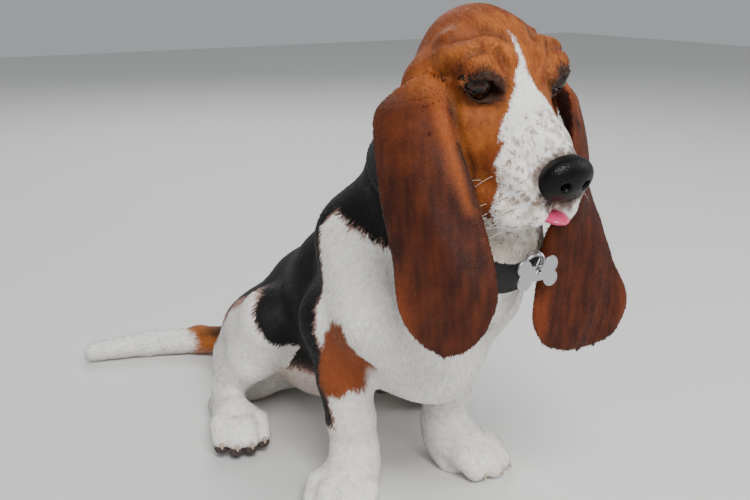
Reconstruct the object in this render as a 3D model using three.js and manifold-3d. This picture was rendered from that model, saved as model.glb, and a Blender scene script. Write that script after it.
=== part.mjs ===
// A sitting basset hound puppy, about four months old, life size, with its collar and bare tag.
// Millimetres. The dog faces -Y, its left side is +X and up is +Z. Until the last lines all
// places are measured from the floor midway between the two front wrists.

import * as THREE from "three";
import { mergeVertices } from "three/addons/utils/BufferGeometryUtils.js";
import Module from "manifold-3d";

const wasm = await Module();
wasm.setup();

// Driving sizes
const GAP = 0.3;
const EYE_REACH = 134;
const EYE_HEIGHT = 321;
const EYE_SPREAD = 29;
const EYE_RADIUS = 10;
const HEAD_BOW = THREE.MathUtils.degToRad(32);
const NOSE_HALF_WIDTH = 19;
const NOSTRIL_RADII = [6, 2.9, 2.6];
const LID_RADIUS = 2.2;
const UPPER_LID = [[4, 18.5, -3], [3, 23, 4], [1.5, 29, 6], [-1, 35, 4], [-5, 40, -2]];
const LOWER_LID = [[4, 18.5, -3], [3, 23, -8], [2, 29, -10], [-1, 35, -8.5], [-5, 40, -2]];
const LID_OPENING = { halfLength: 10, middle: -2, upper: 6, lower: 6.5, depth: 8 };
const TRUNK_RADIUS = 60;
const LOIN_RADIUS = 53;
const RUMP_RADIUS = 45;
const NECK_RADIUS = 46;
const FOREARM_RADIUS = 20;
const WRIST_SPREAD = 44;
const HIND_FOOT_SPREAD = 90;
const EAR_HALF_THICKNESS = 2.6;
const COLLAR_WIDTH = 25;
const COLLAR_THICKNESS = 2.4;
const COLLAR_SINK = 1.2;
const TAG_LENGTH = 32;
const TAG_THICKNESS = 1.6;
const RIGHT = -1;
const LEFT = 1;
const SIDES = [RIGHT, LEFT];
const sideName = (side) => (side === LEFT ? "left" : "right");

// The head has a frame of its own, midway between the eyes and bowed with the head.
const headForward = new THREE.Vector3(0, -Math.cos(HEAD_BOW), -Math.sin(HEAD_BOW));
const headLeft = new THREE.Vector3(1, 0, 0);
const headUp = new THREE.Vector3(0, -Math.sin(HEAD_BOW), Math.cos(HEAD_BOW));
const betweenEyes = new THREE.Vector3(0, -EYE_REACH, EYE_HEIGHT);
const headFrame = new THREE.Matrix4().makeBasis(headForward, headLeft, headUp).setPosition(betweenEyes);
const headFrameInverse = headFrame.clone().invert();

function onHead(forward, left, up, ...radius) {
  const place = new THREE.Vector3(forward, left, up).applyMatrix4(headFrame);
  return [place.x, place.y, place.z, ...radius];
}

// Each paw has a frame of its own too, turned out from the dog's front.
function pawPlacer(side, reach, spread, turnOut) {
  const turn = THREE.MathUtils.degToRad(turnOut);
  return (forward, outward, up, ...radius) => [
    side * (spread + forward * Math.sin(turn) + outward * Math.cos(turn)),
    reach - forward * Math.cos(turn) + outward * Math.sin(turn),
    up,
    ...radius,
  ];
}

const frontPaw = {
  [RIGHT]: pawPlacer(RIGHT, -9, WRIST_SPREAD, 50),
  [LEFT]: pawPlacer(LEFT, -8, WRIST_SPREAD, 26),
};
const hindPaw = {
  [RIGHT]: pawPlacer(RIGHT, 106, HIND_FOOT_SPREAD, 14),
  [LEFT]: pawPlacer(LEFT, 106, HIND_FOOT_SPREAD, 14),
};
const FRONT_TOES = [[-18, 36], [-6.5, 45], [6.5, 45], [18, 36]];
const HIND_TOES = [[-16, 20], [-5.5, 27], [5.5, 27], [16, 20]];

// Flesh is modelled as clay: samples of the distance to the surface, below zero inside it.
const FAR = 60;
const FLOOR_MARGIN = 4;
const BELOW_FLOOR = 1;

function newClay(low, high, step) {
  const count = low.map((edge, axis) => Math.ceil((high[axis] - edge) / step) + 1);
  return { low, step, count, value: new Float32Array(count[0] * count[1] * count[2]).fill(FAR) };
}

function eachSample(clay, low, high, visit) {
  const from = clay.low.map((edge, axis) => Math.max(0, Math.floor((low[axis] - edge) / clay.step)));
  const to = clay.low.map((edge, axis) =>
    Math.min(clay.count[axis] - 1, Math.ceil((high[axis] - edge) / clay.step)));
  for (let i = from[0]; i <= to[0]; i++) {
    const x = clay.low[0] + i * clay.step;
    for (let j = from[1]; j <= to[1]; j++) {
      const y = clay.low[1] + j * clay.step;
      for (let k = from[2]; k <= to[2]; k++) {
        visit((i * clay.count[1] + j) * clay.count[2] + k, x, y, clay.low[2] + k * clay.step);
      }
    }
  }
}

function smoothMin(a, b, blend) {
  const share = Math.max(blend - Math.abs(a - b), 0) / blend;
  return Math.min(a, b) - share * share * blend * 0.25;
}

function boxAround(points, margin) {
  return [
    [0, 1, 2].map((axis) => Math.min(...points.map((p) => p[axis] - (p[3] ?? 0))) - margin),
    [0, 1, 2].map((axis) => Math.max(...points.map((p) => p[axis] + (p[3] ?? 0))) + margin),
  ];
}

// Distance from x, y, z to the line from a to b, and how far along it the nearest place is.
function alongLine(x, y, z, a, b) {
  const dx = b[0] - a[0];
  const dy = b[1] - a[1];
  const dz = b[2] - a[2];
  const share = ((x - a[0]) * dx + (y - a[1]) * dy + (z - a[2]) * dz) / (dx * dx + dy * dy + dz * dz);
  const along = Math.min(1, Math.max(0, share));
  return [Math.hypot(x - a[0] - along * dx, y - a[1] - along * dy, z - a[2] - along * dz), along];
}

// Adds a chain of round, tapering lengths through stations of x, y, z and radius.
function addLimb(clay, blend, innerBlend, ...stations) {
  const [low, high] = boxAround(stations, blend + 6);
  eachSample(clay, low, high, (index, x, y, z) => {
    let made = FAR;
    for (let n = 1; n < stations.length; n++) {
      const [a, b] = [stations[n - 1], stations[n]];
      const [distance, along] = alongLine(x, y, z, a, b);
      made = smoothMin(made, distance - a[3] - along * (b[3] - a[3]), innerBlend);
    }
    clay.value[index] = smoothMin(clay.value[index], made, blend);
  });
}

// Distance to an ellipsoid whose radii lie along the head's forward, left and up.
function ovalDistance(x, y, z, centre, radii) {
  let near = 0;
  let steep = 0;
  for (const [n, axis] of [headForward, headLeft, headUp].entries()) {
    const along = (x - centre[0]) * axis.x + (y - centre[1]) * axis.y + (z - centre[2]) * axis.z;
    near += (along / radii[n]) ** 2;
    steep += (along / radii[n] ** 2) ** 2;
  }
  return Math.sqrt(near) * (Math.sqrt(near) - 1) / (Math.sqrt(steep) + 1e-6);
}

function addOval(clay, blend, centre, radii) {
  const [low, high] = boxAround([centre], Math.max(...radii) + blend + 6);
  eachSample(clay, low, high, (index, x, y, z) => {
    clay.value[index] = smoothMin(clay.value[index], ovalDistance(x, y, z, centre, radii), blend);
  });
}

function cutOval(clay, blend, centre, radii) {
  const [low, high] = boxAround([centre], Math.max(...radii) + blend + 6);
  eachSample(clay, low, high, (index, x, y, z) => {
    clay.value[index] = -smoothMin(-clay.value[index], ovalDistance(x, y, z, centre, radii), blend);
  });
}

// Presses a groove into the surface along a line of points, or raises a ridge where depth is below zero.
function addGroove(clay, depth, width, ...line) {
  const [low, high] = boxAround(line, 3 * width);
  eachSample(clay, low, high, (index, x, y, z) => {
    let near = FAR;
    for (let n = 1; n < line.length; n++) {
      near = Math.min(near, alongLine(x, y, z, line[n - 1], line[n])[0]);
    }
    clay.value[index] += depth * Math.exp(-((near / width) ** 2));
  });
}

// The trunk slopes from the withers to the rump, with a deep keel between the front legs.
function sculptTrunk(clay) {
  addLimb(clay, 16, 10,
    [0, -30, 150, TRUNK_RADIUS - 5], [0, -5, 158, TRUNK_RADIUS - 2], [0, 45, 140, TRUNK_RADIUS],
    [0, 112, 106, LOIN_RADIUS], [0, 178, 68, RUMP_RADIUS]);
  addLimb(clay, 26, 26, [0, -62, 146, 26], [0, -48, 114, 27], [0, -20, 104, 30]);
  addLimb(clay, 24, 24, [0, 20, 92, 30], [0, 110, 62, 34], [0, 160, 46, 34]);
}

function sculptNeck(clay) {
  addLimb(clay, 22, 10,
    [0, -12, 200, NECK_RADIUS + 4], [0, -48, 250, NECK_RADIUS], [0, -84, 300, NECK_RADIUS - 4]);
  addLimb(clay, 22, 22, [0, -88, 188, 36], [0, -106, 222, 31], [0, -104, 260, 24]);
}

function sculptForeleg(clay, side) {
  addLimb(clay, 20, 10, [side * 34, -2, 200, 32], [side * 44, -44, 158, 31], [side * 54, -2, 140, 25]);
  addLimb(clay, 14, 4,
    [side * 54, -2, 140, FOREARM_RADIUS + 4], [side * 52, -8, 95, FOREARM_RADIUS],
    [side * 45, -7, 60, FOREARM_RADIUS - 1], [side * 42, -6, 38, FOREARM_RADIUS - 1.5],
    [side * WRIST_SPREAD, -12, 24, FOREARM_RADIUS - 2]);
}

function sculptHindLeg(clay, side) {
  addLimb(clay, 18, 8, [side * 34, 168, 70, 38], [side * 52, 122, 92, 33], [side * 62, 92, 112, 24]);
  addLimb(clay, 12, 4, [side * 62, 92, 112, 23], [side * 70, 114, 72, 20], [side * 80, 148, 36, 15]);
  addLimb(clay, 10, 4, [side * 82, 158, 12, 13], [side * 87, 126, 22, 16], [side * 90, 108, 25, 17]);
  addLimb(clay, 20, 8, [side * 40, 186, 34, 36], [side * 34, 208, 34, 32]);
}

function sculptTail(clay) {
  addLimb(clay, 10, 6,
    [0, 222, 40, 18], [-8, 262, 24, 15], [-40, 310, 15, 14], [-90, 334, 13, 13], [-140, 346, 11, 10.5]);
}

function sculptFrontPaw(clay, side) {
  const place = frontPaw[side];
  addLimb(clay, 10, 10, place(0, 0, 22, 19), place(18, 0, 18, 19));
  for (const [outward, reach] of FRONT_TOES) {
    addLimb(clay, 4, 4,
      place(10, outward * 0.7, 18, 11), place(reach - 10, outward, 17, 10.5),
      place(reach, outward * 1.06, 9.5, 9.5));
  }
  addOval(clay, 8, place(10, 0, 8), [22, 22, 11]);
}

function sculptHindPaw(clay, side) {
  const place = hindPaw[side];
  for (const [outward, reach] of HIND_TOES) {
    addLimb(clay, 4, 4,
      place(-6, outward * 0.7, 23, 10), place(reach - 8, outward, 25, 9),
      place(reach, outward * 1.05, 17, 8.5));
  }
  addLimb(clay, 8, 8, place(-8, 0, 12, 13), place(12, 0, 11, 12));
}

// Domed skull, brows, cheeks, a deep square muzzle with hanging flews, and the nose on its end.
function sculptHead(clay) {
  addOval(clay, 14, onHead(-36, 0, -22), [47, 37, 44]);
  addLimb(clay, 14, 14, onHead(-20, 0, -9, 29), onHead(4, 0, -18, 21));
  addLimb(clay, 10, 6, onHead(0, 0, -18, 18), onHead(28, 0, -20, 17), onHead(50, 0, -21, 15));
  addLimb(clay, 12, 12, onHead(-40, 0, -50, 24), onHead(0, 0, -56, 18), onHead(48, 0, -54, 10));
  for (const side of SIDES) {
    addLimb(clay, 10, 6,
      onHead(-34, side * 29, -2, 13), onHead(-12, side * 29, 3, 11), onHead(0, side * 19, 1, 8));
    addLimb(clay, 12, 8,
      onHead(-38, side * 33, -30, 18), onHead(-10, side * 31, -34, 16), onHead(10, side * 26, -42, 15));
    addLimb(clay, 8, 6,
      onHead(0, side * 17, -34, 19), onHead(28, side * 13, -28, 15), onHead(28, side * 15, -36, 17),
      onHead(54, side * 12, -34, 14));
    addLimb(clay, 8, 6,
      onHead(10, side * 24, -50, 14), onHead(38, side * 22, -55, 12.5), onHead(52, side * 19, -53, 12),
      onHead(62, side * 10, -47, 10));
  }
  addOval(clay, 3, onHead(62, 0, -21), [11, NOSE_HALF_WIDTH, 15]);
  addGroove(clay, 1.5, 2, onHead(73, 0, -30), onHead(69, 0, -45));
  for (const side of SIDES) {
    sculptEyelids(clay, side);
    sculptFolds(clay, side);
    cutOval(clay, 1.5, onHead(72, side * 7.5, -19), NOSTRIL_RADII);
  }
}

// Two thick lids lie round each eye, the lower one drooping, and open in the shape of an almond.
function sculptEyelids(clay, side) {
  for (const lid of [UPPER_LID, LOWER_LID]) {
    addLimb(clay, 3, 2, ...lid.map(([f, l, u]) => onHead(f, side * l, u, LID_RADIUS)));
  }
  const [low, high] = boxAround([onHead(0, side * EYE_SPREAD, 0)], 2 * LID_OPENING.halfLength);
  eachSample(clay, low, high, (index, x, y, z) => {
    const place = new THREE.Vector3(x, y, z).applyMatrix4(headFrameInverse);
    const arch = 1 - ((side * place.y - EYE_SPREAD) / LID_OPENING.halfLength) ** 2;
    const above = place.z - LID_OPENING.middle - LID_OPENING.upper * arch;
    const below = LID_OPENING.middle - LID_OPENING.lower * arch - place.z;
    const outside = Math.max(above, below, -place.x - LID_OPENING.depth);
    clay.value[index] = Math.max(clay.value[index], -outside);
  });
}

// The loose folds over the brows and behind the cheeks, and the lips parting over the lower jaw.
function sculptFolds(clay, side) {
  const fold = (depth, width, ...line) =>
    addGroove(clay, depth, width, ...line.map(([f, l, u]) => onHead(f, side * l, u)));
  fold(3, 3.5, [-44, 40, -5], [-35, 38, 6], [-31, 29, 11], [-29, 20, 15], [-23, 13, 18], [-15, 10, 19]);
  fold(-3, 4.5, [-27, 41, -8], [-23, 40, 5], [-19, 33, 12], [-19, 21, 15], [-13, 14, 17], [-5, 11, 13]);
  fold(3, 3, [-17, 39, -7], [-12, 40, 8], [-13, 31, 14], [-11, 19, 15], [1, 15, 10], [9, 15, 1]);
  fold(3, 3.5, [-8, 38, -17], [5, 39, -28], [15, 38, -36], [24, 35, -44], [28, 31, -54]);
  fold(2.5, 3.5, [-26, 44, -10], [-18, 49, -28], [-6, 46, -46], [2, 38, -60]);
  fold(3, 3.5, [69, 0, -45], [66, 8, -52], [56, 14, -62], [38, 17, -67], [12, 18, -69], [-8, 22, -66]);
}

function sculptDog(clay) {
  sculptTrunk(clay);
  sculptNeck(clay);
  sculptTail(clay);
  for (const side of SIDES) {
    sculptForeleg(clay, side);
    sculptHindLeg(clay, side);
    sculptFrontPaw(clay, side);
    sculptHindPaw(clay, side);
  }
  sculptHead(clay);
  eachSample(clay, clay.low, clay.low.map((edge) => edge + 1e4), (index, x, y, z) => {
    clay.value[index] = Math.max(clay.value[index], -z - BELOW_FLOOR);
  });
}

// The surface of the clay: one corner in each cell that it crosses, one face across each crossed edge.
function skinOf(clay) {
  const [nx, ny, nz] = clay.count;
  const at = (i, j, k) => (i * ny + j) * nz + k;
  const steps = [ny * nz, nz, 1];
  const cornerOf = new Map();
  const corners = [];
  const inside = (index) => clay.value[index] < 0;
  for (let i = 0; i < nx - 1; i++) {
    for (let j = 0; j < ny - 1; j++) {
      for (let k = 0; k < nz - 1; k++) {
        const base = at(i, j, k);
        const sum = [0, 0, 0];
        let crossings = 0;
        for (let axis = 0; axis < 3; axis++) {
          const [other, third] = [0, 1, 2].filter((n) => n !== axis);
          for (const shift of [[0, 0], [0, 1], [1, 0], [1, 1]]) {
            const from = base + shift[0] * steps[other] + shift[1] * steps[third];
            const to = from + steps[axis];
            if (inside(from) === inside(to)) continue;
            const share = clay.value[from] / (clay.value[from] - clay.value[to]);
            sum[axis] += share;
            sum[other] += shift[0];
            sum[third] += shift[1];
            crossings++;
          }
        }
        if (crossings === 0) continue;
        cornerOf.set(base, corners.length);
        corners.push([i, j, k].map((cell, axis) =>
          clay.low[axis] + (cell + sum[axis] / crossings) * clay.step));
      }
    }
  }
  const faces = [];
  for (let axis = 0; axis < 3; axis++) {
    const other = steps[(axis + 1) % 3];
    const third = steps[(axis + 2) % 3];
    for (const base of cornerOf.keys()) {
      if (inside(base) === inside(base + steps[axis])) continue;
      const ring = [base - other - third, base - third, base, base - other].map((cell) => cornerOf.get(cell));
      if (ring.includes(undefined)) continue;
      if (!inside(base)) ring.reverse();
      faces.push([ring[0], ring[1], ring[2]], [ring[0], ring[2], ring[3]]);
    }
  }
  return { corners, faces };
}

// Merges the least telling corners of a closed surface until few enough faces are left.
function coarsen({ corners, faces }, target) {
  const around = corners.map(() => new Set());
  const error = corners.map(() => new Float64Array(10));
  const age = new Int32Array(corners.length);
  const live = faces.map(() => true);
  const planeOf = (a, b, c) => {
    const [u, v] = [b.map((n, i) => n - a[i]), c.map((n, i) => n - a[i])];
    const normal = [u[1] * v[2] - u[2] * v[1], u[2] * v[0] - u[0] * v[2], u[0] * v[1] - u[1] * v[0]];
    return [...normal, -(normal[0] * a[0] + normal[1] * a[1] + normal[2] * a[2])];
  };
  faces.forEach((face, index) => {
    const [a, b, c, d] = planeOf(...face.map((corner) => corners[corner]));
    const area = Math.hypot(a, b, c) || 1e-9;
    const terms = [a * a, a * b, a * c, a * d, b * b, b * c, b * d, c * c, c * d, d * d];
    for (const corner of face) {
      around[corner].add(index);
      terms.forEach((term, n) => (error[corner][n] += term / area));
    }
  });
  const costAt = (q, [x, y, z]) =>
    q[0] * x * x + 2 * q[1] * x * y + 2 * q[2] * x * z + 2 * q[3] * x + q[4] * y * y + 2 * q[5] * y * z +
    2 * q[6] * y + q[7] * z * z + 2 * q[8] * z + q[9];
  const bestPlace = (q, from, to) => {
    const middle = from.map((n, i) => (n + to[i]) / 2);
    const matrix = new THREE.Matrix3().set(q[0], q[1], q[2], q[1], q[4], q[5], q[2], q[5], q[7]);
    const size = Math.cbrt(Math.abs(matrix.determinant()));
    const places = [from, to, middle];
    if (size > 1e-3 * (q[0] + q[4] + q[7])) {
      const solved = new THREE.Vector3(-q[3], -q[6], -q[8]).applyMatrix3(matrix.invert());
      const span = Math.hypot(...from.map((n, i) => n - to[i]));
      if (solved.distanceTo(new THREE.Vector3(...middle)) < 2 * span) places.push(solved.toArray());
    }
    return places.map((place) => [costAt(q, place), place]).reduce((a, b) => (b[0] < a[0] ? b : a));
  };
  const heap = [];
  const push = (item) => {
    let n = heap.push(item) - 1;
    while (n > 0 && heap[(n - 1) >> 1].cost > item.cost) {
      heap[n] = heap[(n - 1) >> 1];
      n = (n - 1) >> 1;
    }
    heap[n] = item;
  };
  const pop = () => {
    const [top, last] = [heap[0], heap.pop()];
    for (let n = 0; heap.length > 0; ) {
      let next = 2 * n + 1;
      if (next + 1 < heap.length && heap[next + 1].cost < heap[next].cost) next++;
      if (next >= heap.length || heap[next].cost >= last.cost) {
        heap[n] = last;
        break;
      }
      heap[n] = heap[next];
      n = next;
    }
    return top;
  };
  const offer = (a, b) => {
    const [cost, place] = bestPlace(error[a].map((term, n) => term + error[b][n]), corners[a], corners[b]);
    push({ cost, place, a, b, ages: age[a] + age[b] });
  };
  const neighbours = (corner) => new Set([...around[corner]].flatMap((face) => faces[face]));
  faces.forEach(([a, b, c]) => [[a, b], [b, c], [c, a]].forEach(([p, q]) => p < q && offer(p, q)));
  const turnsOver = (corner, other, place) =>
    [...around[corner]].some((index) => {
      if (faces[index].includes(other)) return false;
      const before = planeOf(...faces[index].map((n) => corners[n]));
      const after = planeOf(...faces[index].map((n) => (n === corner ? place : corners[n])));
      const dot = before[0] * after[0] + before[1] * after[1] + before[2] * after[2];
      return dot < 0.3 * Math.hypot(...before.slice(0, 3)) * Math.hypot(...after.slice(0, 3));
    });
  let left = faces.length;
  while (left > target && heap.length > 0) {
    const { place, a, b, ages } = pop();
    if (ages !== age[a] + age[b] || around[a].size === 0 || around[b].size === 0) continue;
    const nearB = neighbours(b);
    const shared = [...neighbours(a)].filter((corner) => nearB.has(corner) && corner !== a && corner !== b);
    if (shared.length !== 2 || !nearB.has(a)) continue;
    if (turnsOver(a, b, place) || turnsOver(b, a, place)) continue;
    for (const index of [...around[b]]) {
      if (faces[index].includes(a)) {
        faces[index].forEach((corner) => around[corner].delete(index));
        live[index] = false;
        left--;
      } else {
        faces[index] = faces[index].map((corner) => (corner === b ? a : corner));
        around[a].add(index);
      }
    }
    around[b].clear();
    corners[a] = place;
    error[b].forEach((term, n) => (error[a][n] += term));
    age[a]++;
    age[b] = 1e9;
    for (const corner of neighbours(a)) {
      if (corner !== a) offer(a, corner);
    }
  }
  return { corners, faces: faces.filter((_, index) => live[index]) };
}

// Solids and the cuts between them
function solidFrom({ corners, faces }) {
  const used = new Map();
  const triVerts = new Uint32Array(faces.flat().map((corner) => {
    if (!used.has(corner)) used.set(corner, used.size);
    return used.get(corner);
  }));
  const vertProperties = new Float32Array([...used.keys()].flatMap((corner) => corners[corner]));
  return new wasm.Manifold(new wasm.Mesh({ numProp: 3, vertProperties, triVerts }));
}

// Welds corners that all but touch and drops the faces that have shrunk to nothing.
function welded(geometry, tolerance) {
  const bare = geometry.clone();
  bare.deleteAttribute("normal");
  bare.deleteAttribute("uv");
  const merged = mergeVertices(bare, tolerance);
  const all = merged.index.array;
  const kept = [];
  for (let n = 0; n < all.length; n += 3) {
    const [a, b, c] = all.slice(n, n + 3);
    if (a !== b && b !== c && c !== a) kept.push(a, b, c);
  }
  merged.setIndex(kept);
  return merged;
}

function solidOf(geometry, matrix = new THREE.Matrix4()) {
  const merged = welded(geometry.clone().applyMatrix4(matrix), 1e-4);
  return new wasm.Manifold(new wasm.Mesh({
    numProp: 3,
    vertProperties: merged.attributes.position.array,
    triVerts: new Uint32Array(merged.index.array),
  }));
}

function largest(solid) {
  return solid.decompose().reduce((a, b) => (b.volume() > a.volume() ? b : a));
}

function block(low, high, grow = 0) {
  const size = high.map((edge, axis) => edge - low[axis] + 2 * grow);
  const middle = high.map((edge, axis) => (edge + low[axis]) / 2);
  return solidOf(new THREE.BoxGeometry(...size), new THREE.Matrix4().setPosition(...middle));
}

function sideBlock(side, low, high, grow = 0) {
  return side === LEFT
    ? block(low, high, grow)
    : block([-high[0], low[1], low[2]], [-low[0], high[1], high[2]], grow);
}

// Everything on the side of a plane that its normal points to.
function beyond(point, normal, offset = GAP / 2) {
  const reach = 600;
  const turn = new THREE.Quaternion().setFromUnitVectors(new THREE.Vector3(0, 0, 1), normal);
  const middle = point.clone().addScaledVector(normal, offset + reach / 2);
  const matrix = new THREE.Matrix4().compose(middle, turn, new THREE.Vector3(1, 1, 1));
  return solidOf(new THREE.BoxGeometry(2 * reach, 2 * reach, reach), matrix);
}

// Where two folds of one surface just touch, their corners are drawn a little way in from each other.
const WELD = 0.01;
const TOUCHING_DRAW = 0.05;
function drawTouchingApart(geometry) {
  geometry.computeVertexNormals();
  const { position, normal } = geometry.attributes;
  const here = new THREE.Vector3();
  const way = new THREE.Vector3();
  const together = new Map();
  for (let corner = 0; corner < position.count; corner++) {
    const key = here.fromBufferAttribute(position, corner).divideScalar(WELD).round().toArray().join();
    together.set(key, [...(together.get(key) ?? []), corner]);
  }
  for (const corners of together.values()) {
    if (corners.length === 1) continue;
    for (const corner of corners) {
      way.fromBufferAttribute(normal, corner);
      here.fromBufferAttribute(position, corner).addScaledVector(way, -TOUCHING_DRAW);
      position.setXYZ(corner, ...here.toArray());
    }
  }
}

function meshOf(name, solid, look) {
  const { vertProperties, triVerts } = solid.getMesh();
  const cut = new THREE.BufferGeometry();
  cut.setAttribute("position", new THREE.BufferAttribute(new Float32Array(vertProperties), 3));
  cut.setIndex(new THREE.BufferAttribute(new Uint32Array(triVerts), 1));
  drawTouchingApart(cut);
  const geometry = welded(cut, WELD);
  geometry.computeVertexNormals();
  const mesh = new THREE.Mesh(geometry, new THREE.MeshStandardMaterial(look));
  mesh.name = name;
  return mesh;
}

// Looks
const TAN_FUR = { color: 0x9a4f1c, roughness: 0.85, metalness: 0 };
const BROWN_FUR = { color: 0x5e2615, roughness: 0.85, metalness: 0 };
const WHITE_FUR = { color: 0xd9d4cb, roughness: 0.85, metalness: 0 };
const BLACK_FUR = { color: 0x17140f, roughness: 0.8, metalness: 0 };
const NOSE_LEATHER = { color: 0x16140f, roughness: 0.4, metalness: 0 };
const TONGUE_PINK = { color: 0xc9506a, roughness: 0.35, metalness: 0 };
const EYE_DARK = { color: 0x1b0f0a, roughness: 0.1, metalness: 0 };
const NYLON = { color: 0x0d0d0e, roughness: 0.7, metalness: 0 };
const STEEL = { color: 0xb9bcc0, roughness: 0.3, metalness: 1 };

// Flesh between two corners of a box, coarsened to so many faces.
function flesh(low, high, step, faceCount) {
  const clay = newClay(low, high, step);
  sculptDog(clay);
  const [nx, ny, nz] = clay.count;
  eachSample(clay, clay.low, clay.low.map((edge) => edge + 1e4), (index) => {
    const k = index % nz;
    const j = Math.floor(index / nz) % ny;
    const i = Math.floor(index / nz / ny);
    const rim = i === 0 || j === 0 || k === 0 || i === nx - 1 || j === ny - 1 || k === nz - 1;
    if (rim) clay.value[index] = Math.max(clay.value[index], 1);
  });
  return solidFrom(coarsen(skinOf(clay), faceCount));
}

const dog = new THREE.Group();

// The cuts: behind the jaw, at the foot of the neck, at the root of the tail and half way along it.
const jawCut = {
  point: new THREE.Vector3(0, -86, 276),
  normal: new THREE.Vector3(0, -0.686, 0.727).normalize(),
};
const neckCut = {
  point: new THREE.Vector3(0, -44, 204),
  normal: new THREE.Vector3(0, -0.547, 0.837).normalize(),
};
const tailCut = { point: new THREE.Vector3(0, 243, 0), normal: new THREE.Vector3(0, 1, 0) };
const tailMiddleCut = { point: new THREE.Vector3(-58, 0, 0), normal: new THREE.Vector3(-1, 0, 0) };
const past = (cut) => beyond(cut.point, cut.normal);
const before = (cut) => beyond(cut.point, cut.normal.clone().negate());

// Each leg is cut from the trunk by the faces of a box, and its paw by another.
const foreleg = { low: [27, -75, 0], high: [130, 45, 120] };
const frontPawBox = { low: [4, -95, 0], high: [140, 45, 44] };
const thigh = { low: [34, 56, 64], high: [130, 200, 160] };
const hindLeg = { low: [50, 56, 0], high: [130, 180, 64] };
const hindPawBox = { low: [50, 50, 0], high: [135, 112, 44] };

// A claw leaves the end of each toe and points down and forward.
function claw(place, outward, reach, height) {
  const from = new THREE.Vector3(...place(reach + 3, outward * 1.08, height));
  const to = new THREE.Vector3(...place(reach + 12, outward * 1.1, height - 5));
  const length = from.distanceTo(to);
  const turn = new THREE.Quaternion().setFromUnitVectors(
    new THREE.Vector3(0, 1, 0), to.clone().sub(from).normalize());
  const middle = from.clone().add(to).multiplyScalar(0.5);
  const matrix = new THREE.Matrix4().compose(middle, turn, new THREE.Vector3(1, 1, 1));
  return solidOf(new THREE.CylinderGeometry(0.7, 2.6, length, 6), matrix);
}

for (const side of SIDES) {
  const name = sideName(side);
  const foreLow = side === LEFT ? [20, -80, 36] : [-100, -80, 36];
  const foreHigh = side === LEFT ? [100, 50, 128] : [-20, 50, 128];
  const leg = flesh(foreLow, foreHigh, 2.8, 520)
    .intersect(sideBlock(side, [foreleg.low[0], foreleg.low[1], frontPawBox.high[2] + GAP], foreleg.high));
  dog.add(meshOf(`foreleg_${name}`, largest(leg), WHITE_FUR));

  const pawLow = side === LEFT ? [0, -92, -FLOOR_MARGIN] : [-130, -92, -FLOOR_MARGIN];
  const pawHigh = side === LEFT ? [130, 40, 50] : [0, 40, 50];
  let paw = flesh(pawLow, pawHigh, 1.9, 820).intersect(sideBlock(side, frontPawBox.low, frontPawBox.high));
  for (const [outward, reach] of FRONT_TOES) {
    paw = paw.add(claw(frontPaw[side], outward, reach, 9.5));
  }
  dog.add(meshOf(`forepaw_${name}`, largest(paw), WHITE_FUR));

  const thighLow = side === LEFT ? [26, 48, 56] : [-110, 48, 56];
  const thighHigh = side === LEFT ? [110, 206, 168] : [-26, 206, 168];
  const haunch = flesh(thighLow, thighHigh, 3, 360).intersect(sideBlock(side, thigh.low, thigh.high));
  dog.add(meshOf(`thigh_${name}`, largest(haunch), BLACK_FUR));

  const shankLow = side === LEFT ? [42, 50, -FLOOR_MARGIN] : [-120, 50, -FLOOR_MARGIN];
  const shankHigh = side === LEFT ? [120, 188, 72] : [-42, 188, 72];
  const shank = flesh(shankLow, shankHigh, 2.5, 560)
    .intersect(sideBlock(side, hindLeg.low, [hindLeg.high[0], hindLeg.high[1], hindLeg.high[2] - GAP]))
    .subtract(sideBlock(side, hindPawBox.low, hindPawBox.high, GAP));
  dog.add(meshOf(`hind_leg_${name}`, largest(shank), WHITE_FUR));

  const footLow = side === LEFT ? [44, 50, -FLOOR_MARGIN] : [-126, 50, -FLOOR_MARGIN];
  const footHigh = side === LEFT ? [126, 120, 50] : [-44, 120, 50];
  let foot = flesh(footLow, footHigh, 2, 640).intersect(sideBlock(side, hindPawBox.low, hindPawBox.high));
  for (const [outward, reach] of HIND_TOES) {
    foot = foot.add(claw(hindPaw[side], outward, reach, 17));
  }
  dog.add(meshOf(`hind_paw_${name}`, largest(foot), WHITE_FUR));
}

const floorCut = beyond(new THREE.Vector3(), new THREE.Vector3(0, 0, 1), 0);
let torso = flesh([-90, -110, -FLOOR_MARGIN], [90, 260, 262], 4, 1230)
  .intersect(floorCut).intersect(before(neckCut)).intersect(before(tailCut));
for (const side of SIDES) {
  for (const box of [foreleg, frontPawBox, thigh, hindLeg, hindPawBox]) {
    torso = torso.subtract(sideBlock(side, box.low, box.high, GAP));
  }
}
dog.add(meshOf("torso", largest(torso), WHITE_FUR));

const tail = flesh([-165, 230, -FLOOR_MARGIN], [40, 375, 70], 2.5, 520).intersect(floorCut);
const wholeTail = tail.intersect(past(tailCut));
dog.add(meshOf("tail_root", largest(wholeTail.intersect(before(tailMiddleCut))), TAN_FUR));
dog.add(meshOf("tail_end", largest(wholeTail.intersect(past(tailMiddleCut))), WHITE_FUR));

// The collar lies square to the neck, a little sunk in the coat, lower at the throat than at the nape.
const collarAxis = new THREE.Vector3(0, -0.584, 0.811).normalize();
const collarBack = new THREE.Vector3(0, 0.811, 0.584).normalize();
const collarMiddle = new THREE.Vector3(0, -70, 245);
const neckClay = newClay([-80, -160, 150], [80, 40, 330], 3);
sculptNeck(neckClay);
sculptTrunk(neckClay);

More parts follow.
